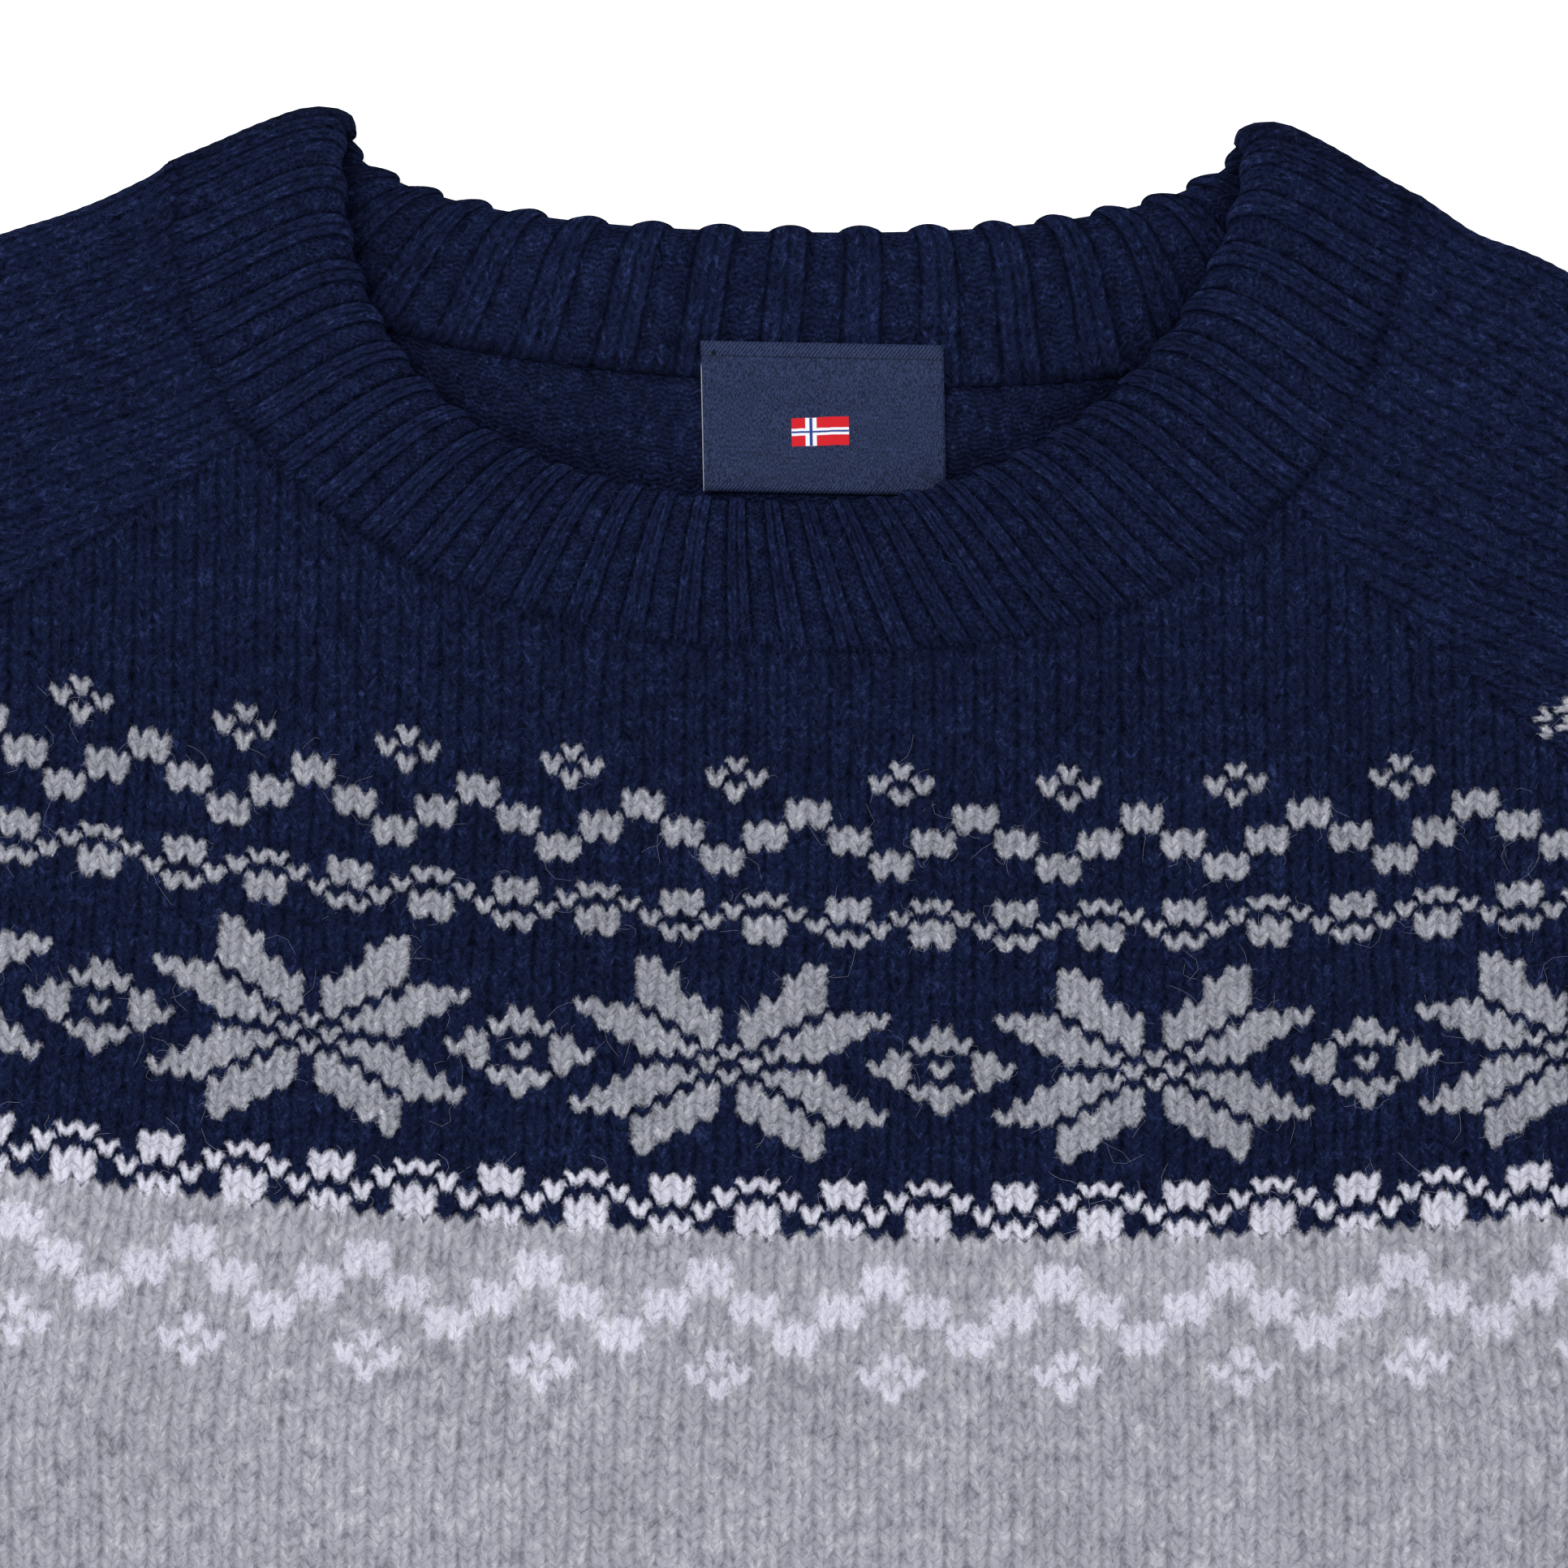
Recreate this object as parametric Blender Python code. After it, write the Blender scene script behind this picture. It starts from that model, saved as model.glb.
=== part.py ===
"""Nordic yoke sweater, laid flat on its back, front up.

Metres. X runs across the chest, Y up towards the neck, Z up from the table. The origin is the
middle of the sweater's box, on the table. Places are first worked out in the sweater's own
plan, where Y is 0 at the tips of the neckband and both halves are alike.
"""
import math

import bmesh
import bpy
import numpy as np

MM = 0.001

# Cloth: two layers of knit lie on each other, folded at the top of the sleeves and the neck tips
WALL = 2.6 * MM
LAYER_GAP = 0.4 * MM
SEAM_GAP = 0.3 * MM
OUTER_TURN = WALL + LAYER_GAP / 2      # radius of the outer face round a fold
INNER_TURN = LAYER_GAP / 2
MIDDLE_Z = OUTER_TURN                  # height of the plane between the two layers

# Body
CHEST_HALF = 268 * MM
WAIST_HALF = 262 * MM                  # where the sides start to draw in to the hem rib
HEM_HALF = 250 * MM
RIB_HALF = 243 * MM
UNDERARM_Y = -275 * MM
WAIST_Y = -560 * MM
HEM_Y = -625 * MM
LENGTH = 690 * MM
PLAN_MIDDLE_Y = -344.5 * MM            # the plan's Y that the origin stands at

# Neck opening, and the seam that joins the neckband to the body: squared half ellipses
FREE_HALF, FREE_DROP, FREE_SQUARE = 97 * MM, 78 * MM, 2.5
SEAM_HALF, SEAM_DROP, SEAM_SQUARE = 127 * MM, 98 * MM, 2.3
SEAM_TOP_Y = -12 * MM
BACK_FREE_DROP, BACK_FREE_SQUARE = 24.5 * MM, 2.2
NECK_LIFT = 5.0 * MM                   # how far the front neckband's free edge stands up
TIP_TRIM = 8 * MM                      # the corners of the neckband's two tips are rounded off

# Seams as cubic curves by their four control points, right side, in mm
BACK_SEAM = ((127, -12), (118, -46), (70, -54), (0, -54))
FRONT_RAGLAN = ((107, -72.2), (165, -114), (232, -190), (268, -275))
BACK_RAGLAN = ((106, -37.8), (160, -80), (226, -170), (268, -275))
UNDERARM = ((268, -275), (350, -398), (462, -545), (557, -682))

# The sleeve's fold: straight off the neck, round the shoulder, straight to the cuff
TOP_START = (127 * MM, SEAM_TOP_Y)
TOP_HEADINGS = (-25, -68)              # degrees
TOP_RUNS = (270 * MM, 150 * MM, 443 * MM)
UNDERARM_ON_TOP = 0.403                # share of the fold that lies above the underarm
CUFF_LENGTH = 65 * MM

# 2x2 rib
RIB_PITCH = 12 * MM
RIB_RISE = 0.9 * MM
RIB_SAMPLES = 5                        # columns of faces to a rib
FRONT_NECK_RIBS, BACK_NECK_RIBS = 23, 17
SCALLOP = 0.7 * MM                     # how far each rib stands past a free edge

# Label, sewn to the back neck seam by its top edge
LABEL_HALF_WIDTH, LABEL_HEIGHT, LABEL_WALL = 25 * MM, 31 * MM, 1.0 * MM
LABEL_X, LABEL_TOP_Y = 3 * MM, -47 * MM
LABEL_LEAN = 0.02                      # its sides lean and its top slopes, rise over run
LABEL_STEP = 0.95 * MM                 # it steps up where it lies on the neckband

# The cloth lies turned a little to the left at the neck
TURN_PER_X, TURN_SHIFT, TURN_OFFSET = 0.064, -10 * MM, 1.5 * MM
TURN_Y, TURN_REACH_UP, TURN_REACH_DOWN, TURN_SIDE = -90 * MM, 70 * MM, 95 * MM, 260 * MM

# Largest folds in the upper layer: soft ridges, one row each, in mm and degrees
FOLD_COLUMNS = ("x", "y", "heading", "half_length", "half_width", "rise")
FOLDS = (
    (-212, -268, 62, 66, 15, 1.5),
    (216, -272, 118, 70, 16, 1.6),
    (-120, -430, 84, 110, 30, 1.0),
    (96, -450, 98, 110, 34, 1.1),
    (-345, -255, 38, 56, 14, 1.6),
    (350, -262, 143, 58, 15, 1.5),
    (-452, -440, 120, 76, 15, 1.2),
    (455, -455, 59, 80, 16, 1.3),
)

NAVY, GREY, LABEL_BLUE = (0.012, 0.016, 0.055), (0.36, 0.37, 0.40), (0.022, 0.034, 0.088)
FINE = np.linspace(0, 1, 801)
RAGLAN_STATIONS = np.array([0, 0.05, 0.12, 0.22, 0.33, 0.44, 0.55, 0.66, 0.77, 0.87, 0.95, 1])


# ---- plan curves ---------------------------------------------------------------------------

def smooth(value):
    """0 below 0, 1 above 1, an even S between."""
    value = np.clip(value, 0, 1)
    return value * value * (3 - 2 * value)


def cubic(points):
    """A finely sampled cubic curve through its end points, from control points in mm."""
    p = np.array(points, float) * MM
    t = FINE[:, None]
    u = 1 - t
    return u**3 * p[0] + 3 * u * u * t * p[1] + 3 * u * t * t * p[2] + t**3 * p[3]


def half_oval(half, drop, square, top_y):
    """Lower half of a squared ellipse, from its left tip to its right tip."""
    turn = np.pi * (1 - FINE)
    c, s = np.cos(turn), np.sin(turn)
    x = half * np.sign(c) * np.abs(c) ** (2 / square)
    return np.stack([x, top_y - drop * np.abs(s) ** (2 / square)], axis=1)


def front_seam():
    return half_oval(SEAM_HALF, SEAM_DROP, SEAM_SQUARE, SEAM_TOP_Y)


def back_seam():
    """The seam of the back neckband, from its left tip to its right tip."""
    right = cubic(BACK_SEAM)
    return np.concatenate([right * (-1, 1), right[::-1][1:]])


def sleeve_fold():
    """The upper outline of the right sleeve, from the neckband to the cuff."""
    bends = np.concatenate([[0], np.cumsum(TOP_RUNS)])
    along = FINE * bends[-1]
    headings = np.radians([TOP_HEADINGS[0], TOP_HEADINGS[0], TOP_HEADINGS[1], TOP_HEADINGS[1]])
    heading = np.interp(along, bends, headings)
    steps = np.diff(along)[:, None] * np.stack([np.cos(heading), np.sin(heading)], axis=1)[1:]
    return np.concatenate([[TOP_START], np.array(TOP_START) + np.cumsum(steps, axis=0)])


def length_along(path):
    steps = np.linalg.norm(np.diff(path, axis=0), axis=1)
    return np.concatenate([[0], np.cumsum(steps)])


def at_share(path, share):
    """Points of a path at shares of its length."""
    along = length_along(path)
    want = np.asarray(share) * along[-1]
    return np.stack([np.interp(want, along, path[:, k]) for k in range(2)], axis=-1)


def y_at(path, x):
    order = np.argsort(path[:, 0])
    return np.interp(x, path[order, 0], path[order, 1])


def moved_in(path, distance):
    """A path moved sideways, to the left of its own direction."""
    along = np.gradient(path, axis=0)
    along /= np.maximum(np.linalg.norm(along, axis=1), 1e-12)[:, None]
    return path + distance * np.stack([-along[:, 1], along[:, 0]], axis=1)


# ---- heights and the way the cloth lies ------------------------------------------------------

def fold_rise(x, y):
    """Height of the soft ridges in the upper layer."""
    rise = np.zeros_like(x * y)
    for row in FOLDS:
        fold = dict(zip(FOLD_COLUMNS, row))
        heading = math.radians(fold["heading"])
        dx, dy = x - fold["x"] * MM, y - fold["y"] * MM
        along = dx * math.cos(heading) + dy * math.sin(heading)
        across = dy * math.cos(heading) - dx * math.sin(heading)
        bell = (along / fold["half_length"]) ** 2 + (across / fold["half_width"]) ** 2
        rise += fold["rise"] * MM * np.exp(-bell / MM**2)
    return rise


def laid(plan):
    """Turns the neck a little to the left and moves the plan to the origin."""
    x, y, z = plan[..., 0], plan[..., 1], plan[..., 2]
    reach = np.where(y > TURN_Y, TURN_REACH_UP, TURN_REACH_DOWN)
    near = 1 / (1 + ((y - TURN_Y) / reach) ** 2)
    near_middle = 1 / (1 + (x / TURN_SIDE) ** 4)
    moved_x = x + near_middle * (TURN_OFFSET + TURN_SHIFT * near)
    moved_y = y - near_middle * near * TURN_PER_X * x
    return np.stack([moved_x, moved_y - PLAN_MIDDLE_Y, z], axis=-1)


def grid(x, y, z):
    return np.stack(np.broadcast_arrays(x, y, z), axis=-1)


def ribbing(turns):
    """1 on a knit pair and 0 on a purl pair of 2x2 rib, with rounded shoulders."""
    return smooth(0.5 + 0.9 * np.cos(2 * np.pi * turns))


def turned_edge(inset, radius):
    """Where a face lies that turns down to the middle plane at a side fold.

    Gives its distance in from the outline and its height over the middle plane."""
    angle = np.clip(1 - inset / OUTER_TURN, 0, 1) * math.pi / 2
    distance = np.where(inset < OUTER_TURN, OUTER_TURN - radius * np.sin(angle), inset)
    return distance, np.maximum(radius * np.cos(angle), SEAM_GAP / 2)


# ---- solids ----------------------------------------------------------------------------------

def wool(colour):
    name = "wool_%03d" % round(1000 * sum(colour))
    material = bpy.data.materials.get(name) or bpy.data.materials.new(name)
    material.use_nodes = True
    shader = material.node_tree.nodes["Principled BSDF"]
    shader.inputs["Base Color"].default_value = (*colour, 1)
    shader.inputs["Roughness"].default_value = 0.9
    return material


def wall(name, inner, outer, colour, ring=False):
    """A closed wall between two grids of points. A ring's last column repeats its first."""
    rows, columns = inner.shape[:2]
    bm = bmesh.new()
    place = bm.verts.layers.int.new("place")
    bmesh.ops.create_grid(bm, x_segments=columns - 1, y_segments=rows - 1, size=1)
    for index, (vert, point) in enumerate(zip(bm.verts, inner.reshape(-1, 3))):
        vert.co = point
        vert[place] = index
    if ring:
        bmesh.ops.remove_doubles(bm, verts=bm.verts, dist=MM / 1000)
    made = bmesh.ops.extrude_face_region(bm, geom=bm.faces[:])
    targets = outer.reshape(-1, 3)
    for item in made["geom"]:
        if isinstance(item, bmesh.types.BMVert):
            item.co = targets[item[place]]
    bmesh.ops.recalc_face_normals(bm, faces=bm.faces)
    mesh = bpy.data.meshes.new(name)
    bm.to_mesh(mesh)
    bm.free()
    mesh.shade_smooth()
    mesh.set_sharp_from_angle(angle=math.radians(50))
    mesh.materials.append(wool(colour))
    collection.objects.link(bpy.data.objects.new(name, mesh))


# ---- body panels and hem ---------------------------------------------------------------------

def round_folds(half, middle):
    """Places across a panel: those in the middle, and close ones round each side fold."""
    turn = np.array([0, 0.5, 1]) * OUTER_TURN
    inside = middle[np.abs(middle) < half - 2 * OUTER_TURN]
    return np.concatenate([-half + turn, inside, (half - turn)[::-1]])


def body_panel(name, front, neck_columns, rows):
    """A panel from the hem up to the neck seam in the middle and a raglan seam either side."""
    raglan = cubic(FRONT_RAGLAN if front else BACK_RAGLAN)
    neck = front_seam() if front else back_seam()
    neck = neck[np.abs(neck[:, 0]) <= raglan[0, 0]]
    middle = at_share(neck, np.linspace(0, 1, neck_columns))[:, 0]
    side = at_share(raglan, RAGLAN_STATIONS[1:])[:, 0]
    across = round_folds(CHEST_HALF, np.concatenate([-side[::-1], middle, side]))
    raglan_y = y_at(moved_in(raglan, -SEAM_GAP), np.abs(across))
    top = np.where(np.abs(across) <= raglan[0, 0], y_at(neck, across) - SEAM_GAP / 2, raglan_y)
    bottom = HEM_Y + SEAM_GAP / 2
    y = bottom + np.linspace(0, 1, rows)[:, None] * (top - bottom)
    half = np.interp(y, (HEM_Y, WAIST_Y, UNDERARM_Y), (HEM_HALF, WAIST_HALF, CHEST_HALF))
    faces = []
    for radius in (INNER_TURN, OUTER_TURN):
        distance, height = turned_edge(CHEST_HALF - np.abs(across), radius)
        x = np.sign(across) * (CHEST_HALF - distance) * half / CHEST_HALF
        if front:
            faces.append(grid(x, y, MIDDLE_Z + height + fold_rise(x, y)))
        else:
            faces.append(grid(x, y, MIDDLE_Z - height))
    wall(name, *map(laid, faces), NAVY)


def hem(name, front):
    """2x2 rib below a panel, raised on the upper face. The underside rests flat."""
    ribs = round(2 * RIB_HALF / RIB_PITCH)
    columns = ribs * RIB_SAMPLES if front else ribs // 2
    across = round_folds(RIB_HALF, np.linspace(-RIB_HALF, RIB_HALF, columns + 1))
    share = np.array([0, 0.08, 0.5, 1] if front else [0, 0.5, 1])[:, None]
    top = HEM_Y - SEAM_GAP / 2
    rib = ribbing(across / RIB_PITCH) * smooth(share / 0.08)
    rib = rib * np.clip((RIB_HALF - np.abs(across)) / OUTER_TURN - 1, 0, 1)
    y = top + share * (SCALLOP - LENGTH - top) - (SCALLOP * rib * (share == 1) if front else 0)
    drawn_in = 1 + (HEM_HALF / RIB_HALF - 1) * (1 - smooth(2 * share))
    faces = []
    for radius, raised in ((INNER_TURN, 0), (OUTER_TURN, RIB_RISE)):
        distance, height = turned_edge(RIB_HALF - np.abs(across), radius)
        x = np.sign(across) * (RIB_HALF - distance) * drawn_in
        if front:
            faces.append(grid(x, y, MIDDLE_Z + height + fold_rise(x, y) + raised * rib))
        else:
            faces.append(grid(x, y, MIDDLE_Z - height))
    wall(name, *map(laid, faces), GREY)


# ---- sleeves and cuffs -----------------------------------------------------------------------

def neck_bulge(share, front):
    """How far the sleeve's neck edge leaves the straight line between its two ends."""
    raglan_x = cubic(FRONT_RAGLAN if front else BACK_RAGLAN)[0, 0]
    seam = front_seam() if front else back_seam()
    edge = seam[seam[:, 0] >= raglan_x]
    edge = edge[np.argsort(edge[:, 0])]
    curved = at_share(edge, share)
    return curved - (edge[0] + share[..., None] * (edge[-1] - edge[0]))


def tube_layer(fold, edge, count, turned, radius):
    """One layer of a flat tube: for each station, points from its seam edge in to its fold.

    turned is 1 where the seam edge turns down to meet the other layer and 0 where the edge is
    cut upright along a raglan seam. Gives the places and the heights over the middle plane."""
    width = np.linalg.norm(fold - edge, axis=1)[:, None]
    heading = (fold - edge) / width
    near = np.array([0, 0.5]) * OUTER_TURN * np.ones_like(width)
    even = OUTER_TURN + np.linspace(0, 1, count)[None, :] * (width - 2 * OUTER_TURN)
    inset = np.concatenate([near, even], axis=1)
    bent, bent_height = turned_edge(inset, radius)
    turned = turned[:, None]
    distance = turned * bent + (1 - turned) * inset
    height = turned * bent_height + (1 - turned) * radius
    return edge[:, None] + distance[..., None] * heading[:, None], height, distance / width


def tube(name, fold, edges, turned, counts, side, colour, ribs=None, neck_rows=0):
    """A flat tube cut open along its seam edge: up one layer, round the fold, down the other."""
    faces = []
    turn = np.radians([30, 60, 90, 120, 150])
    for radius, raised in ((INNER_TURN, 0), (OUTER_TURN, RIB_RISE)):
        layers = []
        for front, edge, count in zip((True, False), edges, counts):
            xy, height, share = tube_layer(fold, edge, count, turned, radius)
            if neck_rows:
                fade = np.clip(1 - np.arange(len(fold)) / neck_rows, 0, 1) ** 2
                xy = xy + fade[:, None, None] * neck_bulge(share, front)
            z = MIDDLE_Z + height if front else MIDDLE_Z - height
            if front:
                z = z + fold_rise(side * xy[..., 0], xy[..., 1])
            if front and ribs is not None and raised:
                z = z + raised * ribs(xy, fold, share)
            layers.append(np.concatenate([side * xy[..., :1], xy[..., 1:], z[..., None]], axis=-1))
        start = layers[0][:, -1:, :2]
        outward = (fold - edges[0]) / np.linalg.norm(fold - edges[0], axis=1)[:, None]
        outward = outward[:, None] * (side, 1)
        bend_xy = start + radius * np.sin(turn)[None, :, None] * outward
        bend_z = np.broadcast_to(MIDDLE_Z + radius * np.cos(turn), bend_xy.shape[:2])
        bend = np.concatenate([bend_xy, bend_z[..., None]], axis=-1)
        faces.append(np.concatenate([layers[0], bend, layers[1][:, ::-1]], axis=1))
    wall(name, *map(laid, faces), colour)


def sleeve(name, side):
    fold, arm = sleeve_fold(), cubic(UNDERARM)
    raglan_share = RAGLAN_STATIONS[:-1]
    fold_cuff = CUFF_LENGTH / length_along(fold)[-1]
    arm_cuff = CUFF_LENGTH / length_along(arm)[-1]
    arm_share = np.linspace(0, 1, 11)
    top = at_share(fold, np.concatenate([
        raglan_share * UNDERARM_ON_TOP,
        UNDERARM_ON_TOP + arm_share * (1 - fold_cuff - UNDERARM_ON_TOP)]))
    edges = [np.concatenate([at_share(cubic(path), raglan_share),
                             at_share(arm, arm_share * (1 - arm_cuff))])
             for path in (FRONT_RAGLAN, BACK_RAGLAN)]
    turned = np.concatenate([0 * raglan_share, 1 + 0 * arm_share])
    tube(name, top, edges, turned, (10, 6), side, NAVY, neck_rows=5)


def cuff(name, side):
    """2x2 rib at the end of a sleeve, raised on the upper face."""
    fold, arm = sleeve_fold(), cubic(UNDERARM)
    share = np.array([SEAM_GAP / CUFF_LENGTH, 0.1, 0.5, 1])
    fold_cuff = CUFF_LENGTH / length_along(fold)[-1]
    arm_cuff = CUFF_LENGTH / length_along(arm)[-1]
    top = at_share(fold, 1 - fold_cuff * (1 - share))
    edge = at_share(arm, 1 - arm_cuff * (1 - share))

    def ribs(xy, fold_points, across):
        width = np.linalg.norm(fold_points - edge, axis=1)[:, None]
        count = round(width.mean() / RIB_PITCH)
        inside = np.clip(np.minimum(across, 1 - across) * width / OUTER_TURN - 1, 0, 1)
        return ribbing(count * across) * inside * smooth(share / 0.1)[:, None]

    columns = RIB_SAMPLES * round(np.linalg.norm(top[-1] - edge[-1]) / RIB_PITCH)
    tube(name, top, (edge, edge), np.ones(len(share)), (columns, 5), side, GREY, ribs)


# ---- neckband and label ------------------------------------------------------------------------

def tip_trim(share):
    """How much sooner the neckband folds over, at a share of its width, to round its corner."""
    past = np.clip((share - 0.78) / 0.22, 0, 1)
    return TIP_TRIM * (1 - np.sqrt(1 - past**2)) - 1 * MM * smooth(share / 0.78)


def neck_layer(seam, free, columns, across):
    """One half of the neckband between its folds, which it stays clear of by their radius."""
    rows = []
    for share in across:
        path_length = (1 - share) * length_along(seam)[-1] + share * length_along(free)[-1]
        inset = (OUTER_TURN + tip_trim(share)) / path_length
        want = inset + np.linspace(0, 1, columns) * (1 - 2 * inset)
        rows.append((1 - share) * at_share(seam, want) + share * at_share(free, want))
    return np.array(rows)


def neckband():
    """One ring of 2x2 rib: its front half on the upper layer, its back half on the lower."""
    across = np.array([0, 0.06, 0.45, 0.78, 0.93, 1])
    seams = moved_in(front_seam(), SEAM_GAP), moved_in(back_seam(), SEAM_GAP)
    frees = (half_oval(FREE_HALF, FREE_DROP, FREE_SQUARE, 0),
             half_oval(FREE_HALF, BACK_FREE_DROP, BACK_FREE_SQUARE, 0))
    turn = np.radians([36, 72, 108, 144])
    faces = []
    for radius in (INNER_TURN, OUTER_TURN):
        halves = []
        for front, seam, free, count in zip((True, False), seams, frees,
                                            (FRONT_NECK_RIBS, BACK_NECK_RIBS)):
            columns = count * RIB_SAMPLES + 1
            xy = neck_layer(seam, free, columns, across)
            share = np.linspace(0, 1, columns)
            ends = np.minimum(share, 1 - share) * count
            rib = ribbing(count * share) * smooth(across / (0.06 if front else 0.3))[:, None]
            rib = rib * smooth(ends if front else ends / 2 - 1)
            outward = (xy[-1] - xy[0]) / np.linalg.norm(xy[-1] - xy[0], axis=1)[:, None]
            xy[-1] += SCALLOP * (rib[-1][:, None] - 1) * outward
            arch = np.sin(np.pi * share) ** 0.7
            if front:
                z = MIDDLE_Z + radius + NECK_LIFT * across[:, None] ** 1.5 * arch
                z = z + (RIB_RISE * rib if radius == OUTER_TURN else 0)
            else:
                z = MIDDLE_Z - radius + (RIB_RISE if radius == INNER_TURN else 0) * rib
            halves.append(np.concatenate([xy, z[..., None]], axis=-1))
        front_half, back_half = halves[0], halves[1][:, ::-1]
        folds = []
        for last, first in ((front_half[:, -1], back_half[:, 0]),
                            (back_half[:, -1], front_half[:, 0])):
            heading = np.radians(68 + 60 * smooth((across - 0.7) / 0.3))
            tip = np.stack([np.sign(last[0, 0]) * np.cos(heading), np.sin(heading)], axis=1)
            start, end = last[:, :2], first[:, :2]
            ease = (turn / np.pi)[None, :, None]
            xy = start[:, None] * (1 - ease) + end[:, None] * ease
            xy = xy + radius * np.sin(turn)[None, :, None] * tip[:, None]
            sign = 1 if last[0, 2] > first[0, 2] else -1
            z = MIDDLE_Z + sign * radius * np.cos(turn)
            z = np.broadcast_to(z, xy.shape[:2])
            folds.append(np.concatenate([xy, z[..., None]], axis=-1))
        ring = [front_half, folds[0], back_half, folds[1], front_half[:, :1]]
        faces.append(np.concatenate(ring, axis=1))
    wall("neckband", *map(laid, faces), NAVY, ring=True)


def label():
    """A woven label that lies on the back, its top edge on the neckband."""
    across = np.linspace(-1, 1, 3) * LABEL_HALF_WIDTH
    down = np.linspace(1, 0, 11)[:, None] * LABEL_HEIGHT
    x = LABEL_X + across + LABEL_LEAN * down
    y = LABEL_TOP_Y - PLAN_MIDDLE_Y - down - LABEL_LEAN * across
    step = LABEL_STEP * smooth(1.8 - down / (8 * MM))
    low = WALL + SEAM_GAP + step + 0 * x
    wall("label", grid(x, y, low), grid(x, y, low + LABEL_WALL), LABEL_BLUE)


# ---- build -------------------------------------------------------------------------------------

for old in list(bpy.data.objects):
    bpy.data.objects.remove(old, do_unlink=True)
collection = bpy.data.collections.new("nordic_yoke_sweater")
bpy.context.scene.collection.children.link(collection)

body_panel("front", True, 49, 18)
body_panel("back", False, 43, 12)
hem("hem_front", True)
hem("hem_back", False)
for suffix, direction in (("right", 1), ("left", -1)):
    sleeve("sleeve_" + suffix, direction)
    cuff("cuff_" + suffix, direction)
neckband()
label()
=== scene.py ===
import math

import bmesh
import bpy
import numpy as np
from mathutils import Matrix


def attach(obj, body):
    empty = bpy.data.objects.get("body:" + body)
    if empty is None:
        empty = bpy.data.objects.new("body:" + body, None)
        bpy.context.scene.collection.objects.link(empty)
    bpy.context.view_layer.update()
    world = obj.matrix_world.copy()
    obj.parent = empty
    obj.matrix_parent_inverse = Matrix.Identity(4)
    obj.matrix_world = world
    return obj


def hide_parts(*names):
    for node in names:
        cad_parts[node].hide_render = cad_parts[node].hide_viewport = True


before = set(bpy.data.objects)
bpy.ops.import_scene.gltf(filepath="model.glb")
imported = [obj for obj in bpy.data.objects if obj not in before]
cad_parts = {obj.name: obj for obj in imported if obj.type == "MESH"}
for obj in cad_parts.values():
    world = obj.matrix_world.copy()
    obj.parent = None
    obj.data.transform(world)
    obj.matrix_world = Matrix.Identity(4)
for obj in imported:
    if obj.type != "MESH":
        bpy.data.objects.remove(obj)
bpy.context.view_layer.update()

rng = np.random.default_rng(11)

# Everything below is in millimetres until buildMesh. x goes across the chest, y up to the neck
# and z up off the table; y is 0 at the tips of the neckband until laid() moves it.
cloth = {
    "outerTurn": 2.8,      # radius of the outer face round a fold, a wall and half the gap
    "innerTurn": 0.2,      # radius of the inner face
    "wall": 2.6,
    "thinnest": 0.15,      # least height of a face over the middle plane
    "middleZ": 2.8,        # plane between the two layers
    "planMiddleY": -344.5,                     # y of the plan's middle, which goes to the origin
    # the neck lies turned a little to the left: tilt, moves in x, and where that fades out
    "turnPerX": 0.064, "turnShift": -10.0, "turnOffset": 1.5,
    "turnY": -90.0, "turnReachUp": 70.0, "turnReachDown": 95.0, "turnSide": 260.0,
    # soft folds in the upper layer: x, y, heading, half length, half width, rise
    "folds": [
        (-212, -268, 62, 66, 15, 1.5), (216, -272, 118, 70, 16, 1.6),
        (-120, -430, 84, 110, 30, 1.0), (96, -450, 98, 110, 34, 1.1),
        (-345, -255, 38, 56, 14, 1.6), (350, -262, 143, 58, 15, 1.5),
        (-452, -440, 120, 76, 15, 1.2), (455, -455, 59, 80, 16, 1.3),
    ],
}
fine = np.linspace(0, 1, 801)


def smoothStep(value):  # 0 below 0, 1 above 1, 3t^2 - 2t^3 between
    value = np.clip(value, 0, 1)
    return value * value * (3 - 2 * value)


def cubicCurve(points):  # Bezier curve through its end points, from four control points
    p = np.array(points, float)
    t = fine[:, None]
    return (1 - t)**3 * p[0] + 3 * (1 - t)**2 * t * p[1] + 3 * (1 - t) * t * t * p[2] + t**3 * p[3]


def halfOval(half, drop, square, topY):  # lower half of |x/a|^n + |y/b|^n = 1, left to right
    turn = np.pi * (1 - fine)
    c, s = np.cos(turn), np.sin(turn)
    return np.stack([half * np.sign(c) * np.abs(c)**(2 / square),
                     topY - drop * np.abs(s)**(2 / square)], axis=1)


def lengthAlong(path):  # summed lengths of the steps up to each point
    steps = np.linalg.norm(np.diff(path, axis=0), axis=1)
    return np.concatenate([[0], np.cumsum(steps)])


def atShare(path, share):  # the path's points at shares of its length
    along = lengthAlong(path)
    want = np.asarray(share) * along[-1]
    return np.stack([np.interp(want, along, path[:, k]) for k in range(path.shape[1])], axis=-1)


def heightAt(path, x):  # y of a path that runs left to right, at x
    order = np.argsort(path[:, 0])
    return np.interp(x, path[order, 0], path[order, 1])


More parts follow.
